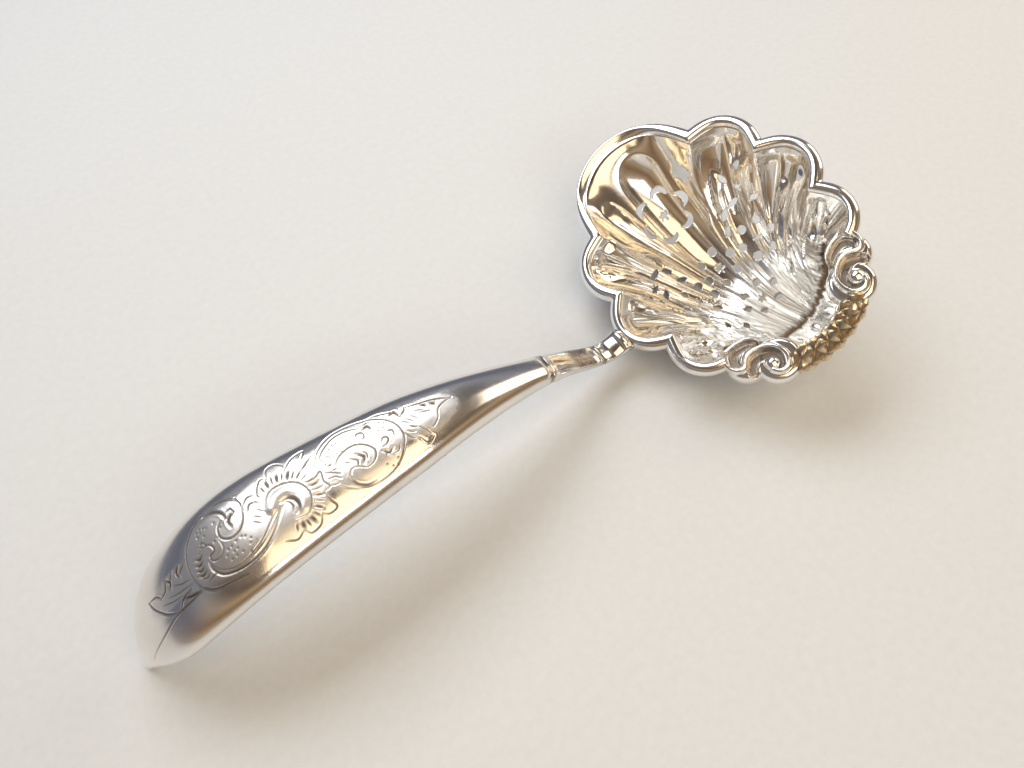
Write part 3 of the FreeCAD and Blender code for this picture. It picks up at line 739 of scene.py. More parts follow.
def outline_distance(x, y, kind):
    """Signed distance to a hole's outline, negative inside it."""
    reach = np.hypot(x, y)
    if kind == "hole":
        return reach - hole_radius
    if kind == "star":
        wave = np.abs((np.arctan2(y, x) / (2 * math.pi) * star_tips) % 1.0 * 2 - 1)
        return reach - (star_waist + (star_radius - star_waist) * wave ** star_tip_power)
    if kind == "lens":
        big = (lens_half_length ** 2 + lens_half_width ** 2) / (2 * lens_half_width)
        return np.hypot(x, np.abs(y) + big - lens_half_width) - big
    bite = crescent_radius - np.hypot(x + crescent_bite, y)
    return np.maximum(reach - crescent_radius, bite)


def hole_places():
    """Every hole: its rosette's centre, its place in the rosette, its turn and its kind."""
    places = []
    for u, v, ring, first, kind in rosettes:
        places.append((u, v, 0.0, 0.0, 0.0, "star"))
        for i in range(petal_count):
            turn = math.radians(first) + i * 2 * math.pi / petal_count
            places.append((u, v, ring * math.cos(turn), ring * math.sin(turn), turn, kind))
    for u, v, degrees, kind in single_holes:
        places.append((u, v, 0.0, 0.0, math.radians(degrees), kind))
    return places


def hole_field(places_grid):
    """How far each point of the grid lies from the nearest hole's outline, negative inside."""
    field = np.full(places_grid.shape[:2], open_field)
    for u, v, off_x, off_y, turn, kind in hole_places():
        normal = dish_normal(u, v, hole_step)
        along = unit(np.array([1.0, 0.0, 0.0]) - normal * normal[0])
        across = np.cross(normal, along)
        away = places_grid - np.array([u, v, float(dish_height(u, v))])
        x = away @ along - off_x
        y = away @ across - off_y
        close = (np.abs(x) < hole_reach) & (np.abs(y) < hole_reach)
        turned_x = x * math.cos(turn) + y * math.sin(turn)
        turned_y = y * math.cos(turn) - x * math.sin(turn)
        field = np.where(close, np.minimum(field, outline_distance(turned_x, turned_y, kind)), field)
    return field


def snap_to_outlines(field, layers):
    """Moves grid points onto the outlines, so that every outline runs along edges or diagonals of quads."""
    rows, columns = field.shape
    best = np.full(field.shape, 1.0)
    target = np.zeros(field.shape + (2,), int)
    index = np.stack(np.meshgrid(np.arange(rows), np.arange(columns), indexing="ij"), axis=-1)
    for di, dj in ((0, 1), (1, 0), (0, -1), (-1, 0)):
        other = np.roll(field, (-di, -dj), axis=(0, 1))
        crossing = field * other < 0
        part = np.where(crossing, field / np.where(crossing, field - other, 1.0), 1.0)
        nearer = crossing & (part <= 1 / 2) & (part < best)
        best = np.where(nearer, part, best)
        target = np.where(nearer[..., None], index + np.array([di, dj]), target)
    moved = best < 1.0
    i, j = target[moved].T
    for layer in layers:
        shifted = layer.copy()
        shifted[moved] = layer[moved] + (layer[i, j] - layer[moved]) * best[moved][:, None]
        layer[...] = shifted
    field = field.copy()
    field[moved] = 0.0
    return field


def pierced_faces(field):
    """Faces of a grid outside the outlines: whole quads, and the outer halves of quads that one crosses."""
    quads = grid_faces(*field.shape)
    signs = np.sign(field.ravel())[quads]
    low = signs.min(axis=1)
    high = signs.max(axis=1)
    faces = [tuple(quad) for quad in quads[(low >= 0) & (high > 0)]]
    crossed = (low < 0) & (high > 0)
    for quad, sign in zip(quads[crossed], signs[crossed]):
        k = int(np.argmax(sign))
        before, after, opposite = (k - 1) % len(quad), (k + 1) % len(quad), (k + 2) % len(quad)
        if sign[opposite] < 0:
            faces.append((quad[before], quad[k], quad[after]))
    return faces


def border_edges(faces):
    """Edges that only one face uses, in that face's direction."""
    seen = {}
    for face in faces:
        for a, b in zip(face, face[1:] + face[:1]):
            seen[(a, b)] = True
    return [(a, b) for a, b in seen if (b, a) not in seen]


def lip_flare():
    """How far the lip's inside is raised, so that it turns over towards its border."""
    away = np.linalg.norm(inside - inside[-1:], axis=-1) / flare_reach
    lobe_share = np.linspace(0.0, len(lines), inside.shape[1]) - len(lines) // 2
    at_lip = smooth(np.minimum(lobe_share, 1 - lobe_share) / flare_fade_share)
    return flare_rise * away * np.exp(1 - away) * at_lip[None, :]


def make_bowl():
    """The chased and pierced sheet: its top, its underside and the walls between their borders."""
    coarse, fine, dark, matt = bowl_relief()
    field = hole_field(inside)
    calm = smooth((field - calm_start) / calm_width)
    top = inside + inside_normals * ((coarse + fine * calm)[..., None])
    top[..., 2] += lip_flare()
    row_share = np.linspace(0.0, 1.0, len(inside))[:, None]
    underside = coarse * smooth((row_share - under_plain_share) / under_plain_share)
    bottom = outside + inside_normals * underside[..., None]
    shade = np.stack([dark, matt], axis=-1)
    field = snap_to_outlines(field, [top, bottom, shade])
    top = to_world(top)
    bottom = to_world(bottom)
    bottom[..., 2] = np.maximum(bottom[..., 2], 0.0)
    faces = pierced_faces(field)
    count = field.size
    walls = [(b, a, a + count, b + count) for a, b in border_edges(faces)]
    under = [tuple(i + count for i in reversed(face)) for face in faces]
    used = np.unique(np.concatenate([np.ravel(face) for face in faces + under]))
    number = np.full(2 * count, -1)
    number[used] = np.arange(len(used))
    points = np.vstack([top.reshape(-1, 3), bottom.reshape(-1, 3)])[used]
    bowl = add_mesh("bowl_chased", points, [[number[i] for i in face] for face in faces + under + walls])
    for k, name in enumerate(("darkening_and_painted_shade", "satin")):
        values = shade[..., k].ravel()
        store_shade(bowl, np.concatenate([values, values * under_shade])[used], name)
    return bowl


# Rim border

wire_section_shares = ((0.00, 0.34), (-0.08, 0.22), (-0.05, 0.06), (0.06, -0.07), (0.24, -0.14),
                       (0.46, -0.16), (0.70, -0.11), (0.92, -0.01), (1.10, 0.15), (1.19, 0.35),
                       (1.20, 0.58), (1.12, 0.80), (0.98, 0.96), (0.80, 1.00))
lip_section_shares = ((0.00, 0.34), (0.10, 0.27), (0.22, 0.20), (0.36, 0.13), (0.50, 0.07), (0.64, 0.02),
                      (0.78, 0.00), (0.90, 0.03), (1.00, 0.12), (1.07, 0.28), (1.09, 0.50), (1.05, 0.74),
                      (0.96, 0.92), (0.80, 1.00))
lip_blend_share = 0.22
rim_section_fineness = 52
# Painted shade on the border's lower outer wall: its strength, and how far below the rim it starts and grows
rim_painted_shade = 0.75
rim_shade_drop = 1.0
rim_shade_reach = 1.8


def make_rim_border():
    """The rolled border that follows the lobes, mitred at each cusp and flatter round the lip."""
    across = even_weights(pole_columns, lobe_fineness)
    wire = path_points(wire_section_shares, rim_section_fineness)
    soft = path_points(lip_section_shares, rim_section_fineness)
    share = np.linspace(0.0, 1.0, lobe_fineness)
    at_lip = smooth(np.minimum(share, 1 - share) / lip_blend_share)
    strips = []
    for k, line in enumerate(lines):
        outer = across @ np.array([pair[0] for pair in line])
        inner = across @ np.array([pair[1] for pair in line])
        softness = (at_lip if k == len(lines) // 2 else 0 * at_lip)[:, None, None]
        section = wire[None] * (1 - softness) + soft[None] * softness
        plan = inner[:, None] + (outer - inner)[:, None] * section[..., :1]
        strip = np.concatenate([plan, -rim_height * section[..., 1:]], axis=-1)
        strips.append(strip if not strips else strip[1:])
    grid = np.concatenate(strips, axis=0)
    border = add_mesh("rim_border_rolled", to_world(grid).reshape(-1, 3), tube_faces(*grid.shape[:2]))
    # Painted shade: the lower outer wall darker and browner, a stand-in for the dark reflections there
    below = np.clip((-grid[..., 2] - rim_shade_drop) / rim_shade_reach, 0.0, 1.0)
    store_shade(border, (rim_painted_shade * below).ravel())
    return border


# Scrolls: a raised wire in an S round two pockets, on two round blocks

scroll_block_height = 6.1
scroll_edge_round = 1.5
scroll_edge_fall = 2.4
scroll_wire_half_width = 0.86
scroll_wire_rise = 0.90
scroll_top_drop = 0.55
eye_radius = 1.90
eye_rise = 1.15
eye_place = (-33.2, 13.4)
block_waist_share = 0.90
pocket_end_share = 0.75
pocket_wall_rate = 1.3
pocket_fineness = 40
wire_fineness = 60
# Painted shade: darker in the sunk pockets and down the blocks' walls
pocket_painted_shade = 0.55
wall_painted_shade = 0.5
scroll_circles = ((loop_circle[0], loop_circle[1], 5.2), (volute_circle[0], volute_circle[1], 5.6))
scroll_rings = 46
scroll_spokes = 150
wall_rings = 8
scroll_wire = ((-21.6, 20.6), (-23.7, 20.4), (-25.7, 20.8), (-27.6, 20.6), (-29.0, 19.5), (-29.2, 18.2),
               (-28.4, 17.0), (-27.7, 15.8), (-27.8, 14.4), (-28.3, 13.0), (-29.0, 11.7), (-30.3, 10.4),
               (-32.2, 9.7), (-34.2, 9.8), (-35.8, 10.9), (-36.2, 12.4), (-35.6, 13.8), (-34.4, 14.4))
inner_wire = ((-21.9, 21.5), (-23.3, 18.8), (-23.9, 15.6), (-24.9, 13.1), (-26.6, 11.4))
# Sunk pockets: half width and depth, then the places
pockets = (
    (1.55, 2.1, (-31.6, 17.8), (-30.3, 16.8), (-29.6, 15.2), (-29.9, 13.6), (-30.7, 12.2), (-32.1, 11.5),
     (-33.6, 11.6), (-34.6, 12.5)),
    (1.30, 1.5, (-28.0, 19.2), (-26.7, 18.8), (-25.6, 18.0), (-25.2, 16.8), (-25.4, 15.2), (-26.0, 13.6),
     (-26.8, 12.4)),
)


def scroll_height(u, v, edge_gap):
    """Height of a scroll's top over the plan and its painted shade, from the gap to its block's edge."""
    round_share = np.clip(1 - edge_gap / scroll_edge_round, 0.0, 1.0)
    top = -scroll_top_drop - scroll_edge_fall * (1 - np.sqrt(1 - round_share ** 2))
    dark = np.zeros(u.shape)
    for width, depth, *places in pockets:
        distance, share, _ = near_path(u, v, path_points(places, pocket_fineness))
        here = width * (pocket_end_share + (1 - pocket_end_share) * np.sin(math.pi * share))
        pocket = smooth(pocket_wall_rate * cross_section(distance, here))
        top = top - depth * pocket
        # Painted shade in the pocket
        dark = np.maximum(dark, pocket_painted_shade * pocket)
    for places in (scroll_wire, inner_wire):
        distance, _, _ = near_path(u, v, path_points(places, wire_fineness))
        wire = cross_section(distance, scroll_wire_half_width)
        top = np.maximum(top, top * (1 - wire) + (scroll_wire_rise * wire - scroll_top_drop) * wire)
        dark = dark * (1 - wire)
    away = np.hypot(u - eye_place[0], v - eye_place[1])
    eye = cross_section(away, eye_radius)
    eye_top = eye_radius * eye - eye_radius + eye_rise - scroll_top_drop
    top = np.maximum(top, np.where(eye > 0, eye_top, top))
    return top, dark * (1 - smooth(2 * eye))


def scroll_block(centre_u, centre_v, radius):
    """Rings of points of a scroll's round block, top first, their painted shade and its middle's height."""
    reach = radius * np.linspace(0.0, 1.0, scroll_rings)[1:, None]
    turn = np.linspace(0.0, 2 * math.pi, scroll_spokes, endpoint=False)[None, :]
    u = centre_u + reach * np.cos(turn)
    v = centre_v + reach * np.sin(turn)
    top, dark = scroll_height(u, v, radius - reach + 0 * turn)
    fall = np.linspace(0.0, 1.0, wall_rings + 1)[1:, None]
    waist = radius * (1 - (1 - block_waist_share) * fall ** 2)
    wall_u = centre_u + waist * np.cos(turn)
    wall_v = centre_v + waist * np.sin(turn)
    wall_top = top[-1:] * (1 - fall) - scroll_block_height * fall
    rings = np.concatenate([np.stack([u, v, top], axis=-1), np.stack([wall_u, wall_v, wall_top], axis=-1)])
    # Painted shade down the wall, darker towards the foot
    shades = np.concatenate([dark, wall_painted_shade * fall + 0 * wall_u])
    middle, _ = scroll_height(np.array([centre_u]), np.array([centre_v]), np.array([radius]))
    return rings, shades, float(middle[0])


def make_scroll(name, side):
    """A scroll: two round blocks, closed with a fan of faces on the top and under the foot."""
    points = []
    shades = []
    faces = []
    for centre_u, centre_v, radius in scroll_circles:
        rings, ring_shades, middle = scroll_block(centre_u, centre_v, radius)
        rows, columns = rings.shape[:2]
        first = len(points)
        points += (rings * (1, side, 1)).reshape(-1, 3).tolist()
        points += [[centre_u, side * centre_v, middle], [centre_u, side * centre_v, -scroll_block_height]]
        shades += ring_shades.ravel().tolist() + [0.0, 0.0]
        faces += [tuple(face) for face in grid_faces(rows, columns, first, side > 0, True)]
        centre = first + rows * columns
        last = first + (rows - 1) * columns
        for i in range(columns):
            k = (i + 1) % columns
            one, other = (i, k) if side > 0 else (k, i)
            faces.append((centre, first + one, first + other))
            faces.append((centre + 1, last + other, last + one))
    scroll = add_mesh(name, to_world(points), faces)
    store_shade(scroll, shades)
    return scroll


# Hinge bar with its lattice of points

bar_inner_half_span = 7.4
bar_outer_half_span = 12.2
bar_inner_u = -36.4
bar_outer_u = -41.0
bar_bow = 1.9
bar_outer_bow_share = 0.5
bar_drop = 4.6
bar_section_shares = ((0.00, 1.00), (0.00, 0.34), (0.08, 0.12), (0.30, 0.02), (0.56, 0.04), (0.80, 0.16),
                      (0.95, 0.38), (1.00, 0.64), (0.96, 0.86), (0.84, 1.00))
bar_points_along = 6
bar_points_across = 2
bar_point_fineness = 26
bar_point_rise = 0.90
bar_lattice_shares = (0.16, 0.90)
bar_section_fineness = 400
bar_rows_before = 6
bar_rows_after = 4
# Painted shade between the studs, where a point lies lower than this
stud_shade_reach = 0.55


def make_hinge_bar():
    """The bar across the shell's hinge, its top and outer side covered in a lattice of pointed studs."""
    along_count = bar_points_along * bar_point_fineness + 1
    across_count = bar_points_across * bar_point_fineness + 1
    section = path_points(bar_section_shares, bar_section_fineness)
    lengths = np.concatenate([[0.0], np.cumsum(np.linalg.norm(np.diff(section, axis=0), axis=1))])
    start, end = bar_lattice_shares
    marks = np.concatenate([np.linspace(0.0, start, bar_rows_before, endpoint=False),
                            np.linspace(start, end, across_count),
                            np.linspace(end, 1.0, bar_rows_after + 1)[1:]]) * lengths[-1]
    width = np.interp(marks, lengths, section[:, 0])[None, :]
    drop = np.interp(marks, lengths, section[:, 1])[None, :]
    share = np.linspace(-1.0, 1.0, along_count)[:, None]
    half_span = bar_inner_half_span + (bar_outer_half_span - bar_inner_half_span) * width
    bow = bar_bow * share ** 2 * (1 + bar_outer_bow_share * width)
    u = bar_inner_u + (bar_outer_u - bar_inner_u) * width + bow
    v = share * half_span
    grid = np.stack([u, v, -bar_drop * drop + 0 * u], axis=-1)
    across = (np.arange(len(marks)) - bar_rows_before) / bar_point_fineness
    across = np.clip(across, 0.0, bar_points_across)[None, :]
    along = (np.arange(along_count) / bar_point_fineness)[:, None]
    first = np.abs(((along + across) % 1.0) * 2 - 1)
    second = np.abs(((along - across) % 1.0) * 2 - 1)
    inside_lattice = ((across > 0) & (across < bar_points_across)).astype(float)
    stud = np.minimum(first, second) * inside_lattice
    grid = grid + normals_out(grid) * (bar_point_rise * stud)[..., None]
    bar = add_mesh("hinge_bar_studded", to_world(grid).reshape(-1, 3), tube_faces(*grid.shape[:2]), False)
    # Painted shade in the valleys between the studs
    store_shade(bar, (np.clip(stud_shade_reach - stud, 0.0, 1.0) * inside_lattice).ravel())
    return bar


# Handle, as in the part's source

handle_length = 128.2
handle_rise = 27.4
handle_half_width = 12.0
handle_dome = 4.6
handle_sheet = 0.8
path_shares = ((-1.000, 0.010), (-0.984, 0.210), (-0.964, 0.390), (-0.936, 0.515), (-0.905, 0.630),
               (-0.842, 0.815), (-0.780, 0.935), (-0.710, 0.990), (-0.600, 1.000), (-0.468, 0.980),
               (-0.343, 0.880), (-0.220, 0.697), (-0.156, 0.565), (-0.108, 0.430), (-0.070, 0.325),
               (-0.038, 0.268), (-0.012, 0.275), (0.010, 0.305))
width_shares = ((-1.000, 0.12), (-0.984, 0.31), (-0.964, 0.55), (-0.936, 0.79), (-0.905, 0.91),
                (-0.842, 0.98), (-0.780, 1.00), (-0.710, 0.97), (-0.600, 0.87), (-0.468, 0.74),
                (-0.343, 0.53), (-0.220, 0.340), (-0.156, 0.290), (-0.094, 0.258), (-0.045, 0.250),
                (-0.020, 0.262), (0.010, 0.310))
dome_shares = ((-1.000, 0.20), (-0.964, 0.48), (-0.905, 0.75), (-0.842, 0.88), (-0.710, 1.00),
               (-0.468, 1.00), (-0.343, 0.85), (-0.220, 0.56), (-0.156, 0.36), (-0.094, 0.24), (-0.030, 0.24),
               (0.010, 0.46))
section_shares = ((-1.00, 0.00), (-1.00, 0.55), (-0.62, 1.08), (0.00, 1.16), (0.62, 1.08), (1.00, 0.55),
                  (1.00, 0.00))
neck_share = -0.195
handle_stations = 26
spine_fineness = 1200
engraved_spans = (1.2, 19.4)
engraved_fineness = 560
tip_fineness = 30
neck_fineness = 24
across_fineness = 190

joint = to_world([lobes[2][0], -(lobes[2][1] + lobes[2][2]), 0.0])


def natural_spline(places, count):
    """A smooth line through places, with no bend at its ends."""
    places = np.asarray(places, float)
    steps = np.linalg.norm(np.diff(places, axis=0), axis=1)
    marks = np.concatenate([[0.0], np.cumsum(steps)])
    size = len(places)
    system = np.eye(size)
    right = np.zeros_like(places)
    for i in range(1, size - 1):
        system[i, i - 1:i + 2] = (steps[i - 1], 2 * (steps[i - 1] + steps[i]), steps[i])
        right[i] = 6 * ((places[i + 1] - places[i]) / steps[i] - (places[i] - places[i - 1]) / steps[i - 1])
    bends = np.linalg.solve(system, right)
    at = np.linspace(0.0, marks[-1], count)
    k = np.clip(np.searchsorted(marks, at, side="right") - 1, 0, size - 2)
    h = steps[k][:, None]
    a = (marks[k + 1] - at)[:, None] / h
    b = 1 - a
    return (a * places[k] + b * places[k + 1]
            + ((a ** 3 - a) * bends[k] + (b ** 3 - b) * bends[k + 1]) * h ** 2 / 6)


def length_share(x):
    """Share of the handle's length at a place, negative towards its tip and none at the border."""
    return (x - joint[0]) / handle_length


def stations_between(first_share, last_share, count):
    """Places evenly spaced along the handle's path, with the path's direction at each."""
    places = [(joint[0] + share * handle_length, joint[1], rise * handle_rise) for share, rise in path_shares]
    path = natural_spline(places, spine_fineness)
    ways = unit(np.gradient(path, axis=0))
    kept = (length_share(path[:, 0]) >= first_share) & (length_share(path[:, 0]) <= last_share)
    path = path[kept]
    lengths = np.concatenate([[0.0], np.cumsum(np.linalg.norm(np.diff(path, axis=0), axis=1))])
    marks = np.linspace(0.0, lengths[-1], count)
    return [np.stack([np.interp(marks, lengths, values[:, k]) for k in range(3)], axis=1)
            for values in (path, ways[kept])]


def section_rows(stations, size, size_shares, inset=0.0):
    """Poles of a domed skin: a row of section points at each station."""
    rows = []
    for place, way in zip(*stations):
        share = length_share(place[0])
        half_width = handle_half_width * np.interp(share, *np.array(width_shares).T)
        dome = size * np.interp(share, *np.array(size_shares).T)
        normal = np.array([-way[2], 0.0, way[0]])
        rows.append([place + np.array([0.0, across * (half_width - inset), 0.0])
                     + normal * (max(up * dome - inset, 0.0) if size > 0 else up * dome)
                     for across, up in section_shares])
    return np.array(rows)


def handle_places():
    """Places in knot spans along the handle, closer together where it is engraved."""
    last = handle_stations - spline_degree
    start, end = engraved_spans
    return np.concatenate([np.linspace(0.0, start, tip_fineness, endpoint=False),
                           np.linspace(start, end, engraved_fineness, endpoint=False),
                           np.linspace(end, last, neck_fineness)])


# Engraving: each cut's width and depth, then its places as X from the handle's tip and Y from its
# middle line

thin = (0.27, 0.10)
broad = (0.46, 0.17)
hair = (0.20, 0.06)
engraved_lines = (
    # leaf at the tip
    (thin, (10.0, 2.5), (10.5, 0.5), (12.0, -2.0), (13.5, -3.4), (15.0, -4.2)),
    (thin, (10.0, 2.5), (11.8, 2.0), (12.8, 0.8)), (thin, (15.0, 2.8), (14.2, 1.2), (12.6, 0.6)),
    (broad, (15.0, 2.8), (15.6, 1.6), (15.2, 0.4)), (thin, (17.0, 3.2), (16.0, 2.0), (15.6, 1.6)),
    (broad, (18.6, 3.0), (17.6, 2.0), (17.8, 0.6)), (thin, (19.8, 2.2), (18.6, 1.6), (18.0, 1.1)),
    (hair, (16.0, 0.6), (17.6, -0.6), (19.4, -1.2)), (hair, (14.2, -0.6), (16.6, -1.6), (19.6, -2.2)),
    (hair, (12.4, -0.6), (14.6, -1.8), (17.0, -2.6)),
    (thin, (20.0, -4.8), (17.5, -4.6), (14.0, -4.4), (10.0, -4.8), (5.0, -5.0)),
    (broad, (16.8, -3.2), (18.4, -4.0), (20.2, -4.6)), (thin, (15.3, -4.2), (16.8, -3.0), (18.6, -2.8)),
    # first cartouche
    (thin, (20.6, -4.0), (20.0, -0.5), (21.0, 3.4), (23.0, 5.8), (26.0, 7.5), (29.4, 8.0), (32.8, 6.6),
     (34.0, 4.4), (34.0, 2.4)), (thin, (20.6, -4.0), (22.6, -6.2), (26.0, -7.4), (29.0, -8.2)),
    (broad, (27.0, 7.0), (29.0, 6.4), (30.2, 5.0), (30.4, 3.4)),
    (thin, (30.4, 3.4), (29.2, 3.6), (28.2, 2.6), (28.0, 0.8), (29.4, -0.6), (31.5, -0.5), (33.2, 1.2),
     (33.9, 4.0), (33.6, 6.0)), (broad, (32.2, 3.6), (31.2, 3.3), (30.5, 2.5), (30.6, 1.3)),
    (thin, (30.8, 4.8), (32.0, 4.6), (32.2, 3.6)),
    (thin, (23.0, 1.2), (25.0, 1.6), (25.9, 0.6), (25.8, -0.4), (24.8, -0.7), (24.8, -1.8), (26.2, -2.3),
     (27.6, -1.2), (27.6, 0.8)),
    (broad, (24.2, -1.5), (24.1, -3.2), (25.2, -5.2), (27.6, -6.4), (30.6, -6.8), (34.0, -6.2),
     (37.2, -4.4), (40.3, -1.6)),
    (thin, (24.4, -2.6), (25.6, -4.6), (28.0, -5.8), (30.6, -5.8), (34.2, -4.7), (37.2, -2.8),
     (39.2, -1.6)), (broad, (22.0, 0.8), (22.7, 0.3), (23.4, 0.6)),
    (broad, (21.5, -0.2), (22.2, -0.7), (23.0, -0.5)), (broad, (21.3, -1.2), (22.0, -1.7), (22.9, -1.5)),
    (broad, (21.2, -2.2), (22.0, -2.7), (22.9, -2.4)), (thin, (21.6, -3.2), (22.4, -3.6), (23.2, -3.3)),
    (thin, (22.3, -4.5), (23.6, -4.2), (24.6, -4.4)), (hair, (23.6, 2.4), (24.4, 1.6)),
    (hair, (24.4, 3.0), (25.0, 1.9)),
    # boss ring and its petals
    (thin, (37.6, 0.4), (38.6, 1.8), (40.2, 2.8), (42.9, 2.5), (45.1, 0.8), (46.0, -2.0), (45.2, -4.2),
     (43.5, -5.5), (41.2, -5.0)),
    (broad, (40.6, -0.6), (41.9, -0.7), (42.9, -1.8), (43.0, -3.4), (42.0, -4.2)),
    (thin, (40.6, -0.6), (41.8, -1.6), (42.0, -2.8), (41.6, -3.8)),
    (thin, (37.4, 3.0), (37.8, 4.4), (39.2, 6.2), (40.4, 5.6)),
    (thin, (40.4, 5.6), (41.2, 7.6), (42.8, 7.8), (44.2, 6.4), (44.0, 5.0)),
    (thin, (44.0, 5.0), (46.2, 6.6), (48.9, 6.8), (48.0, 5.4)),
    (thin, (46.6, 2.8), (48.0, 3.6), (49.8, 4.8)),
    (thin, (46.2, 0.2), (48.0, -0.2), (49.6, 0.4), (49.2, -1.8), (49.6, -3.4), (47.8, -3.6)),
    (thin, (47.8, -3.6), (48.4, -5.4), (48.8, -7.2), (47.0, -7.6), (45.8, -6.8)),
    (thin, (45.8, -6.8), (44.6, -8.4), (42.4, -8.8), (41.4, -7.6)),
    (thin, (41.4, -7.6), (39.6, -8.4), (37.6, -7.4)), (hair, (37.2, 1.6), (36.4, 2.8)),
    (hair, (38.0, 2.4), (37.2, 3.8)), (thin, (38.9, 3.0), (38.6, 4.8)), (broad, (39.9, 3.4), (39.9, 5.4)),
    (thin, (40.9, 3.5), (41.2, 5.6)), (broad, (41.8, 3.4), (42.3, 5.4)), (thin, (42.7, 3.2), (43.4, 4.9)),
    (broad, (43.5, 2.7), (44.7, 4.6)), (thin, (44.3, 2.2), (45.6, 3.8)), (thin, (45.0, 1.7), (46.6, 2.9)),
    (hair, (45.6, 0.9), (47.4, 1.6)), (thin, (46.2, 0.0), (48.0, 0.0)), (broad, (46.5, -1.0), (48.4, -1.2)),
    (thin, (46.6, -2.1), (48.5, -2.5)), (broad, (46.4, -3.2), (48.1, -4.0)),
    (thin, (46.0, -4.1), (47.5, -5.2)), (broad, (45.3, -4.9), (46.5, -6.2)),
    (thin, (44.5, -5.7), (45.4, -7.1)), (broad, (43.6, -6.1), (44.1, -7.6)),
    (thin, (42.7, -6.2), (42.9, -7.7)), (broad, (41.8, -6.1), (41.7, -7.5)),
    (thin, (40.8, -6.0), (40.4, -7.1)), (hair, (36.2, -1.0), (35.0, 0.2)),
    (hair, (35.6, -2.0), (34.4, -0.6)), (hair, (37.2, -0.4), (36.0, 1.2)),
    (thin, (34.4, 1.6), (35.4, 2.8), (36.6, 2.4)), (thin, (34.2, 3.4), (35.6, 4.4), (37.0, 4.0)),
    # second cartouche
    (thin, (47.6, 4.4), (48.9, 2.0), (51.2, 4.8), (54.6, 6.6), (58.2, 6.6), (61.6, 5.6), (64.3, 4.3),
     (66.7, 1.4), (67.0, -2.2), (64.6, -5.4), (61.2, -7.2), (57.0, -7.5), (53.6, -6.4), (51.4, -4.4)),
    (thin, (49.8, 2.0), (52.0, 4.2), (55.0, 5.7), (58.0, 5.6), (60.2, 4.6)),
    (thin, (52.6, -1.4), (52.9, 0.0), (54.5, 1.2), (57.2, 1.6), (59.4, 0.4), (60.6, -1.8), (59.6, -3.5),
     (57.6, -4.0), (56.2, -3.0), (54.8, -2.7), (53.7, -4.2)),
    (broad, (53.7, -4.2), (54.2, -5.8), (55.8, -6.9), (57.6, -7.0)),
    (thin, (56.2, -3.0), (56.6, -1.8), (55.4, -0.6)), (broad, (57.4, -3.0), (58.0, -1.8), (57.0, -0.4)),
    (thin, (58.4, -2.8), (58.8, -1.6), (58.2, -0.6)), (hair, (54.2, -0.8), (55.2, -1.4)),
    (thin, (58.6, 2.2), (59.2, 3.4), (60.4, 3.0), (60.2, 1.8), (59.4, 1.8)),
    (broad, (60.8, 3.8), (62.0, 3.8), (62.4, 2.6)), (thin, (61.2, 4.6), (62.6, 4.6)),
    (thin, (62.4, -1.2), (63.4, -0.4), (64.0, -1.2), (63.2, -2.0), (62.2, -2.2)),
    (broad, (61.8, -2.8), (62.6, -3.8), (63.8, -3.2)), (thin, (64.6, 0.4), (65.6, 0.0), (65.4, -1.4)),
    (thin, (63.0, -4.4), (64.4, -4.4), (65.2, -3.4)), (hair, (51.0, 0.6), (52.2, 0.2)),
    (hair, (51.4, -0.8), (52.6, -1.0)), (thin, (50.2, -2.0), (51.4, -2.2), (52.2, -3.2)),
    (thin, (50.2, -0.4), (51.6, -1.4), (52.6, -2.4)), (thin, (50.0, -3.4), (51.4, -3.8)),
    # leaf towards the stem
    (thin, (62.6, 5.4), (65.0, 5.0), (67.6, 3.6), (68.4, 2.2)),
    (broad, (66.8, 3.6), (68.2, 3.4), (68.6, 2.0)), (thin, (68.6, 2.0), (69.8, 2.6), (70.4, 3.4)),
    (thin, (70.4, 3.4), (73.2, 2.6), (76.6, 1.8), (79.8, 0.4)),
    (thin, (79.8, 0.4), (77.8, 0.2), (76.0, -0.6), (74.8, -2.4), (73.0, -3.6), (71.6, -3.2)),
    (thin, (66.8, -1.0), (68.0, -3.4), (69.4, -4.2)), (broad, (69.4, -4.2), (70.2, -5.8), (71.8, -5.2)),
    (thin, (71.8, -5.2), (71.4, -3.6), (70.6, -2.4)), (hair, (68.0, 0.8), (69.4, -0.6)),
    (hair, (69.0, 1.0), (70.4, -0.8)), (hair, (70.2, 1.2), (71.4, -0.6)), (hair, (71.4, 1.6), (73.6, 0.6)),
    (hair, (72.0, 0.6), (74.6, -0.2)), (broad, (73.6, 2.0), (74.4, 1.4)),
    (thin, (68.0, -1.8), (69.2, -2.8)), (thin, (69.0, -1.2), (70.2, -2.2)),
    (broad, (75.4, 1.4), (76.2, 0.8)),
)

# Stippled dots: each ring's centre, radius and count
stipple_rings = ((26.0, 3.0, 2.6, 9), (25.2, 4.6, 1.4, 5), (31.0, -3.2, 2.2, 8), (28.6, -3.0, 1.4, 6),
                 (62.0, -5.0, 1.8, 7), (54.2, 3.2, 1.8, 7), (51.6, 1.6, 1.2, 5), (64.0, 2.2, 1.2, 5))
stipple_radius = 0.20
stipple_depth = 0.08
stipple_turn_spread = 0.3
stipple_reach_shares = (0.55, 1.1)
stipple_seed = 8

# Boss: a low swell along a short curved line
boss_places = ((38.6, -0.6), (40.2, 0.8), (42.4, 0.9), (43.9, -0.6), (44.4, -2.6), (43.8, -4.2))
boss_half_width = 1.7
boss_height = 0.30
boss_fineness = 40

# Section of a cut, in shares of its width and depth
cut_reach_share = 3.0
cut_groove_share = 0.62
cut_lip_share = 0.22
cut_lip_place_share = 1.25
cut_lip_width_share = 0.5
cut_end_share = 0.04
cut_taper_power = 0.4
cut_dark_gain = 1.25
cut_dark_start = 0.1


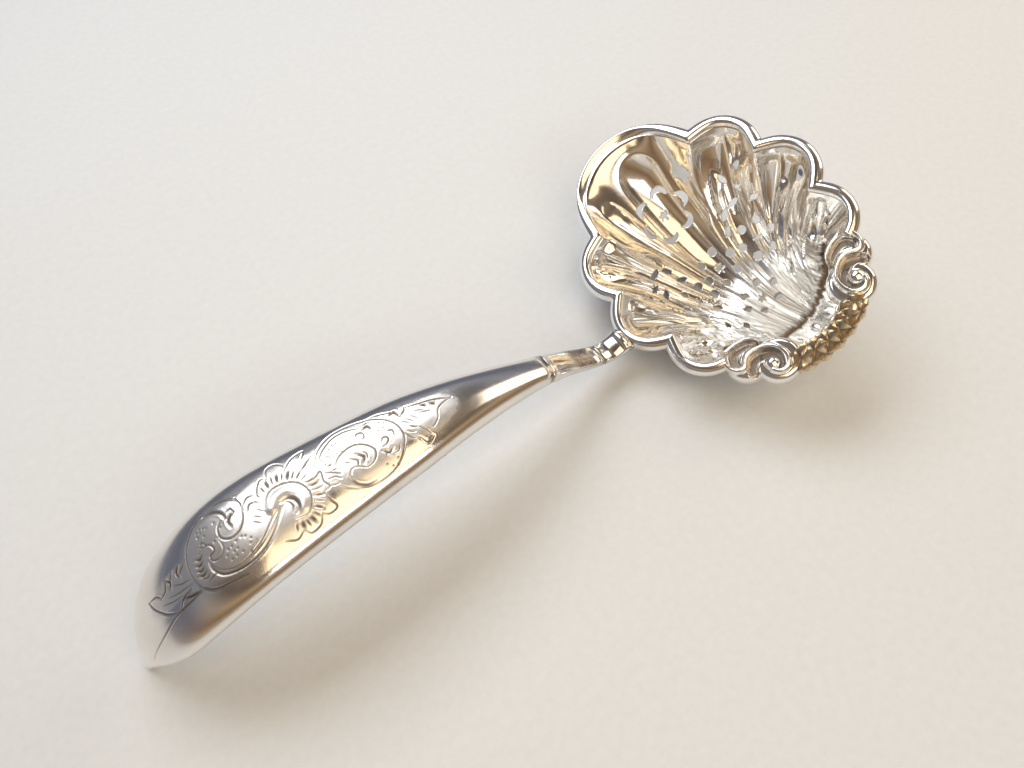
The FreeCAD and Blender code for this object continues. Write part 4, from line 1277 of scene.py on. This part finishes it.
def box_round(x, y, path, reach):
    """Which places of a plane lie in the box round a line, wider by its reach on every side."""
    low = path.min(axis=0) - reach
    high = path.max(axis=0) + reach
    return (x > low[0]) & (x < high[0]) & (y > low[1]) & (y < high[1])


def cut(values, dark, x, y, places, width, depth):
    """Sinks a round-bottomed cut into the surface along a line and notes its darkness."""
    path = path_points(places)
    near = box_round(x, y, path, cut_reach_share * width)
    distance, share, _ = near_path(x[near], y[near], path)
    taper = np.sin(math.pi * np.clip(share, cut_end_share, 1 - cut_end_share)) ** cut_taper_power
    groove = np.exp(-(distance / (width * cut_groove_share)) ** 2) * taper
    lip = np.exp(-((distance - width * cut_lip_place_share) / (width * cut_lip_width_share)) ** 2) * taper
    values[near] += depth * (cut_lip_share * lip - groove)
    dark[near] = np.maximum(dark[near], np.clip(groove * cut_dark_gain - cut_dark_start, 0.0, 1.0))


def engraving(x, y):
    """Relief of the handle's engraving and how dark it is."""
    values = np.zeros(x.shape)
    dark = np.zeros(x.shape)
    boss_line = path_points(boss_places, boss_fineness)
    near = box_round(x, y, boss_line, boss_half_width)
    distance, _, _ = near_path(x[near], y[near], boss_line)
    values[near] += boss_height * smooth(1 - distance / boss_half_width)
    for (width, depth), *places in engraved_lines:
        cut(values, dark, x, y, places, width, depth)
    generator = np.random.default_rng(stipple_seed)
    for centre_x, centre_y, spread, count in stipple_rings:
        for k in range(count):
            turn_spread = generator.uniform(-stipple_turn_spread, stipple_turn_spread)
            angle = 2 * math.pi * k / count + turn_spread
            reach = spread * generator.uniform(*stipple_reach_shares)
            dot_x = centre_x + reach * math.cos(angle)
            dot_y = centre_y + reach * math.sin(angle)
            pit = np.exp(-((x - dot_x) ** 2 + (y - dot_y) ** 2) / stipple_radius ** 2)
            values -= stipple_depth * pit
            dark = np.maximum(dark, pit)
    return values, dark


# Satin ground under the engraving: soft ovals by centre and half sizes
satin_patches = ((16.0, 0.2, 6.5, 3.0), (27.5, 0.2, 8.5, 6.6), (41.5, -0.6, 9.0, 8.0),
                 (57.5, -0.4, 10.5, 6.8), (72.0, -0.8, 8.5, 3.8))
satin_edge_share = 1.15
satin_fade_share = 0.3


def satin_share(x, y):
    """How far each place of the handle is matted by its engraving."""
    satin = np.zeros(x.shape)
    for centre_x, centre_y, half_x, half_y in satin_patches:
        reach = np.hypot((x - centre_x) / half_x, (y - centre_y) / half_y)
        satin = np.maximum(satin, smooth((satin_edge_share - reach) / satin_fade_share))
    return satin


def spline_skin(along, poles, across_count):
    """Points of a skin from its poles and the weights along it."""
    across = even_weights(poles.shape[1], across_count)
    return np.einsum("ri,ijk,cj->rck", along, poles, across)


def make_handle():
    """The engraved front of the handle, a sheet that ends where the stem begins."""
    stations = stations_between(-1.0, neck_share, handle_stations)
    along = pole_weights(handle_stations, handle_places())
    outer, inner = [spline_skin(along, section_rows(stations, handle_dome, dome_shares, inset),
                                across_fineness) for inset in (0.0, handle_sheet)]
    plan = (outer[..., 0] - outer[..., 0].min(), outer[..., 1] - joint[1])
    values, dark = engraving(*plan)
    satin = satin_share(*plan)
    outer = outer + normals_out(outer) * values[..., None]
    rows, columns = values.shape
    count = rows * columns
    front = [tuple(face) for face in grid_faces(rows, columns)]
    back = [tuple(face) for face in grid_faces(rows, columns, count, True)]
    walls = [(b, a, a + count, b + count) for a, b in border_edges(front)]
    points = np.vstack([outer.reshape(-1, 3), inner.reshape(-1, 3)])
    points[:, 2] = np.maximum(points[:, 2], 0.0)
    handle = add_mesh("handle_engraved", points, front + back + walls)
    store_shade(handle, np.concatenate([dark.ravel(), np.zeros(count)]))
    store_shade(handle, np.concatenate([satin.ravel(), np.zeros(count)]), "satin")
    return handle


# Stem: a forged strap with a flat dished face, a crease where it turns up and a ridge at its foot

stem_stations = 12
stem_end_share = 0.010
handle_back_dome = 1.7
back_shares = ((-1.000, 0.70), (-0.936, 0.90), (-0.842, 1.00), (-0.343, 1.00), (-0.195, 0.85),
               (-0.094, 0.70), (-0.030, 0.70), (0.010, 1.30))
stem_fineness = 200
strap_fineness = 90
strap_face_share = 0.82
strap_edge_share = 0.14
strap_dish = 0.30
strap_dish_shares = (-0.185, -0.070)
strap_dish_fade_share = 0.012
strap_dish_roundness = 0.8
crease_share = -0.062
crease_depth = 0.34
crease_width = 0.50
foot_ridge_share = -0.007
foot_ridge_height = 0.42
foot_ridge_width = 0.75
foot_fall = 1.75
foot_fall_length = 2.0
solder_share = -0.184
solder_rise = 0.10
solder_width = 0.60
# A mottled darker patch on the strap's face: where it starts and ends, its fades and its strength
strap_dark_shares = (-0.140, -0.076)
strap_dark_fade_shares = (0.020, 0.008)
strap_darkening = 0.85
strap_mottle = 0.15
strap_mottle_cells = (260, 7, 21)
# Painted shade in the crease, past the foot's ridge and on the strap's back
crease_painted_shade = 0.5
foot_painted_shade = 0.45
foot_shade_share = 0.010
stem_back_painted_shade = 0.3
stem_root_share = 0.86
stem_root_length = 0.7


def strap_relief(share, lateral):
    """Height of the strap's face over its plain section, and how dark it is: a mottled darker patch on the
    face, and painted shade in the crease and past the foot's ridge.
    """
    def bump_at(place, width):
        return np.exp(-((share - place) * handle_length / width) ** 2)

    face = smooth((strap_face_share + strap_edge_share - np.abs(lateral)) / strap_edge_share)
    start, end = strap_dish_shares
    dished = smooth((share - start) / strap_dish_fade_share) * smooth((end - share) / strap_dish_fade_share)
    hollow = strap_dish * dished * (1 - (strap_dish_roundness * lateral) ** 2) * face
    crease = bump_at(crease_share, crease_width)
    ridge = bump_at(foot_ridge_share, foot_ridge_width)
    solder = bump_at(solder_share, solder_width)
    fall = foot_fall * smooth((share - foot_ridge_share) * handle_length / foot_fall_length)
    height = solder_rise * solder + foot_ridge_height * ridge - hollow - crease_depth * crease - fall
    # A mottled darker patch on the face of the strap
    start, end = strap_dark_shares
    start_fade, end_fade = strap_dark_fade_shares
    patch = smooth((share - start) / start_fade) * smooth((end - share) / end_fade) * face
    along_cells, across_cells, seed = strap_mottle_cells
    mottle = fair_noise(share * along_cells, lateral * across_cells, seed)
    dark = strap_darkening * patch * (1 - strap_mottle + strap_mottle * mottle)
    # Painted shade in the crease and where the foot falls away past its ridge
    dark = np.maximum(dark, crease_painted_shade * crease)
    return height, np.maximum(dark, foot_painted_shade * smooth((share - foot_ridge_share) / foot_shade_share))


def make_stem():
    """The strap from the handle's neck to its foot on the border, with a root inside the handle."""
    stations = stations_between(neck_share, stem_end_share, stem_stations)
    along = even_weights(stem_stations, stem_fineness)
    front = spline_skin(along, section_rows(stations, handle_dome, dome_shares), strap_fineness)
    back = spline_skin(along, section_rows(stations, -handle_back_dome, back_shares), strap_fineness)
    normals = normals_out(front)
    lateral = (front[..., 1] - joint[1]) / np.abs(front[:, :1, 1] - joint[1])
    height, dark = strap_relief(length_share(front[..., 0]), lateral)
    front = front + normals * (height * np.clip(normals[..., 2], 0.0, 1.0))[..., None]
    grid = np.concatenate([front, back[:, -2:0:-1]], axis=1)
    # Painted shade on the strap's back
    back_dark = np.full((len(grid), grid.shape[1] - strap_fineness), stem_back_painted_shade)
    dark = np.concatenate([dark, back_dark], axis=1)
    middle = grid[:1].mean(axis=1, keepdims=True)
    root = middle + (grid[:1] - middle) * stem_root_share - np.array([stem_root_length, 0.0, 0.0])
    grid = np.concatenate([root, grid])
    stem = add_mesh("stem_forged", grid.reshape(-1, 3), tube_faces(*grid.shape[:2]))
    store_shade(stem, np.concatenate([dark[:1], dark]).ravel())
    return stem


# Materials


def new_material(name):
    material = bpy.data.materials.new(name)
    material.use_nodes = True
    nodes = material.node_tree.nodes
    nodes.clear()
    output = nodes.new("ShaderNodeOutputMaterial")
    shader = nodes.new("ShaderNodeBsdfPrincipled")
    material.node_tree.links.new(shader.outputs["BSDF"], output.inputs["Surface"])
    return material, shader


def plug(owner, socket, value):
    """Sets a shader socket to a value, or links another socket to it."""
    if isinstance(value, (int, float, tuple)):
        socket.default_value = value
    else:
        owner.node_tree.links.new(value, socket)


def noise_node(material, scale, detail, distortion=0.0):
    """Noise in the piece's own space."""
    place = material.node_tree.nodes.new("ShaderNodeTexCoord")
    noise = material.node_tree.nodes.new("ShaderNodeTexNoise")
    plug(material, noise.inputs["Scale"], scale)
    plug(material, noise.inputs["Detail"], detail)
    plug(material, noise.inputs["Distortion"], distortion)
    plug(material, noise.inputs["Vector"], place.outputs["Object"])
    return noise.outputs["Fac"]


def point_value(material, name):
    """A number that the mesh keeps per point."""
    node = material.node_tree.nodes.new("ShaderNodeAttribute")
    node.attribute_name = name
    return node.outputs["Fac"]


def ramp_node(owner, source, stops):
    """A colour ramp from places and colours."""
    ramp = owner.node_tree.nodes.new("ShaderNodeValToRGB")
    elements = ramp.color_ramp.elements
    elements[0].position, elements[0].color = stops[0]
    elements[1].position, elements[1].color = stops[-1]
    for position, colour in stops[1:-1]:
        elements.new(position).color = colour
    plug(owner, ramp.inputs["Fac"], source)
    return ramp.outputs["Color"]


def mix_node(owner, factor, first, second):
    """Mixes two colours, given as sockets or values, by a socket or value."""
    mix = owner.node_tree.nodes.new("ShaderNodeMix")
    mix.data_type = "RGBA"
    factor_in, first_in, second_in = mix.inputs[0], mix.inputs[6], mix.inputs[7]
    plug(owner, factor_in, factor)
    plug(owner, first_in, first)
    plug(owner, second_in, second)
    return mix.outputs[2]


def math_node(owner, operation, first, second):
    node = owner.node_tree.nodes.new("ShaderNodeMath")
    node.operation = operation
    plug(owner, node.inputs[0], first)
    plug(owner, node.inputs[1], second)
    return node.outputs[0]


# Wear of the silver: noise scales are in cells per metre, detail in octaves
patch_noise = (90.0, 4.0, 0.4)
patch_stops = ((0.42, (0.0, 0.0, 0.0, 1.0)), (0.72, (1.0, 1.0, 1.0, 1.0)))
polish_noise = (900.0, 3.0)
grain_noise = (2600.0, 2.0)
grain_height = 0.05
satin_roughness = 0.16
darkened_roughness = 0.22
speckle_noise = (500.0, 3.0)
speckle_shade = 0.9


def silver(name, colour, tarnish_and_shade_colour, roughness, roughness_spread, tarnish_amount, grain):
    """Silver with fine wear: brighter and smoother where rubbed, browner and duller in random tarnished
    patches, in its cuts and where the mesh carries painted shade and reflection.
    """
    material, shader = new_material(name)
    patch = ramp_node(material, noise_node(material, *patch_noise), patch_stops)
    film = math_node(material, "MULTIPLY", patch, tarnish_amount)
    amount = math_node(material, "ADD", point_value(material, "darkening_and_painted_shade"), film)
    amount = math_node(material, "MINIMUM", amount, 1.0)
    # The dark colour stands for tarnished patches and also for painted shade and reflection
    base = mix_node(material, amount, (*colour, 1.0), (*tarnish_and_shade_colour, 1.0))
    plug(material, shader.inputs["Base Color"], base)
    spread = math_node(material, "MULTIPLY", noise_node(material, *polish_noise), roughness_spread)
    matted = math_node(material, "MULTIPLY", point_value(material, "satin"), satin_roughness)
    dull = math_node(material, "ADD", math_node(material, "MULTIPLY", amount, darkened_roughness), matted)
    rough = math_node(material, "ADD", math_node(material, "ADD", spread, dull), roughness)
    plug(material, shader.inputs["Roughness"], rough)
    plug(material, shader.inputs["Metallic"], 1.0)
    bump = material.node_tree.nodes.new("ShaderNodeBump")
    plug(material, bump.inputs["Strength"], grain)
    plug(material, bump.inputs["Distance"], grain_height * metre)
    plug(material, bump.inputs["Height"], noise_node(material, *grain_noise))
    plug(material, shader.inputs["Normal"], bump.outputs["Normal"])
    return material


def plain_material(name, colour, roughness):
    """A matt material with a slight speckle."""
    material, shader = new_material(name)
    speckle = noise_node(material, *speckle_noise)
    darker = tuple(speckle_shade * part for part in colour)
    plug(material, shader.inputs["Base Color"], mix_node(material, speckle, (*colour, 1.0), (*darker, 1.0)))
    plug(material, shader.inputs["Roughness"], roughness)
    return material


# Each silver: colour, the dark colour for tarnished patches and for painted shade and reflection, roughness,
# its spread, the film of tarnished patches and the strength of the grain
silver_table = (
    ("bowl_silver", (0.86, 0.84, 0.80), (0.20, 0.14, 0.09), 0.08, 0.06, 0.18, 0.12),
    ("border_silver", (0.90, 0.90, 0.885), (0.22, 0.145, 0.075), 0.10, 0.08, 0.10, 0.15),
    ("stem_silver", (0.86, 0.84, 0.80), (0.16, 0.11, 0.085), 0.08, 0.06, 0.10, 0.08),
    ("handle_silver", (0.86, 0.84, 0.81), (0.16, 0.13, 0.10), 0.11, 0.10, 0.08, 0.15),
    # The hinge bar's silver is tinted gold as a painted warm reflection; its dark colour is painted shade
    # between the studs
    ("hinge_silver_painted_warm", (0.86, 0.72, 0.50), (0.09, 0.05, 0.025), 0.09, 0.06, 0.20, 0.08),
)
silvers = {name: silver(name, *values) for name, *values in silver_table}
filling_colour = (0.22, 0.18, 0.14)
filling_roughness = 0.8
filling = plain_material("filling", filling_colour, filling_roughness)


def dress(obj, material):
    obj.data.materials.clear()
    obj.data.materials.append(material)


# Pieces: the mesh, its silver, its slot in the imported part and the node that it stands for

finishes = (
    (make_bowl(), "bowl_silver", "bowl_silver", "bowl"),
    (make_rim_border(), "border_silver", "border_silver", "rim_border"),
    (make_scroll("scroll_near_cast", -1), "border_silver", "border_silver", "scroll_near"),
    (make_scroll("scroll_far_cast", 1), "border_silver", "border_silver", "scroll_far"),
    (make_hinge_bar(), "hinge_silver_painted_warm", "border_silver", "hinge_bar"),
    (make_handle(), "handle_silver", "handle_silver", "handle_front"),
    (make_stem(), "stem_silver", "stem_silver", "stem"),
)
for piece, silver_name, slot_name, node in finishes:
    dress(piece, silvers[silver_name])
    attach(piece, "root")
    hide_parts(node)

for node, material in (("handle_back", silvers["handle_silver"]), ("handle_core", filling)):
    dress(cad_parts[node], material)


# Table, room, lamps and camera

floor_half_width = 1500.0
floor_colour = (0.755, 0.79, 0.83)
floor_roughness = 0.7

# Lamps: place, aim, size, power and colour
lamps = (
    ("window_card", (-60.0, 310.0, 420.0), (-60.0, 0.0, 10.0), (560.0, 260.0), 1.85, (0.96, 0.985, 1.0)),
    ("warm_card", (-80.0, -185.0, 450.0), (-60.0, 0.0, 10.0), (480.0, 310.0), 0.88, (1.0, 0.765, 0.47)),
    ("low_card", (-60.0, -400.0, 330.0), (-30.0, 0.0, 10.0), (460.0, 120.0), 0.46, (0.95, 0.98, 1.0)),
    ("side_card", (380.0, 20.0, 260.0), (-20.0, 0.0, 10.0), (260.0, 240.0), 0.5, (1.0, 0.86, 0.66)),
)

# Room: its colours from the horizon up, on the side of the lip and on the other one
cool_colours = ((0.0, 0.17, 0.18, 0.23), (0.22, 0.12, 0.13, 0.17), (0.42, 0.28, 0.28, 0.31),
                (0.62, 0.10, 0.09, 0.09), (0.82, 0.24, 0.19, 0.15), (1.0, 0.09, 0.07, 0.06))
warm_colours = ((0.0, 0.46, 0.33, 0.20), (0.20, 0.20, 0.12, 0.07), (0.42, 0.44, 0.31, 0.18),
                (0.62, 0.11, 0.075, 0.05), (0.82, 0.24, 0.18, 0.13), (1.0, 0.09, 0.07, 0.06))
warm_side_gain = -1.3
warm_side_start = 0.35


def make_floor():
    half = floor_half_width
    corners = [(-half, -half, 0.0), (half, -half, 0.0), (half, half, 0.0), (-half, half, 0.0)]
    floor = add_mesh("table_top", corners, [tuple(range(len(corners)))], False)
    dress(floor, plain_material("table_paper", floor_colour, floor_roughness))


def place_object(obj, place, right, up, back):
    """Puts a lamp or the camera at a place in millimetres, looking away from its back."""
    turn = Matrix(np.column_stack([right, up, back]).tolist()).to_4x4()
    obj.matrix_world = Matrix.Translation([p * metre for p in place]) @ turn


def add_lamp(name, place, aim, size, power, colour):
    """A soft rectangular lamp, in millimetres, pointed at a place."""
    data = bpy.data.lights.new(name, "AREA")
    data.shape = "RECTANGLE"
    data.size = size[0] * metre
    data.size_y = size[1] * metre
    data.energy = power
    data.color = colour
    lamp = bpy.data.objects.new(name, data)
    bpy.context.scene.collection.objects.link(lamp)
    back = unit(np.array(place) - np.array(aim))
    right = unit(np.cross((0.0, 0.0, 1.0), back))
    place_object(lamp, place, right, np.cross(back, right), back)


def make_world():
    """A dim room, cooler behind the spoon and warmer in front of it."""
    world = bpy.data.worlds.new("studio")
    bpy.context.scene.world = world
    world.use_nodes = True
    nodes = world.node_tree.nodes
    nodes.clear()
    output = nodes.new("ShaderNodeOutputWorld")
    background = nodes.new("ShaderNodeBackground")
    direction = nodes.new("ShaderNodeTexCoord")
    parts = nodes.new("ShaderNodeSeparateXYZ")
    plug(world, parts.inputs["Vector"], direction.outputs["Generated"])
    front = math_node(world, "MULTIPLY", parts.outputs["Y"], warm_side_gain)
    front = math_node(world, "ADD", front, warm_side_start)
    cool, warm = [ramp_node(world, parts.outputs["Z"], [(at, (*colour, 1.0)) for at, *colour in colours])
                  for colours in (cool_colours, warm_colours)]
    plug(world, background.inputs["Color"], mix_node(world, front, cool, warm))
    plug(world, background.inputs["Strength"], 1.0)
    plug(world, output.inputs["Surface"], background.outputs["Background"])


def make_camera():
    data = bpy.data.cameras.new("camera")
    data.lens = lens
    data.sensor_width = sensor
    data.clip_start = camera_clip
    camera = bpy.data.objects.new("camera", data)
    bpy.context.scene.collection.objects.link(camera)
    azimuth, elevation, roll = (math.radians(a) for a in (camera_azimuth, camera_elevation, camera_roll))
    level = np.array([-math.sin(azimuth), math.cos(azimuth), 0.0])
    forward = level * math.cos(elevation) - np.array([0.0, 0.0, math.sin(elevation)])
    side = np.array([math.cos(azimuth), math.sin(azimuth), 0.0])
    top = np.cross(side, forward)
    right = side * math.cos(roll) + top * math.sin(roll)
    up = top * math.cos(roll) - side * math.sin(roll)
    place_object(camera, camera_place, right, up, -forward)
    bpy.context.scene.camera = camera


make_floor()
make_world()
make_camera()
for lamp in lamps:
    add_lamp(*lamp)
bpy.context.scene.view_settings.view_transform = "Standard"
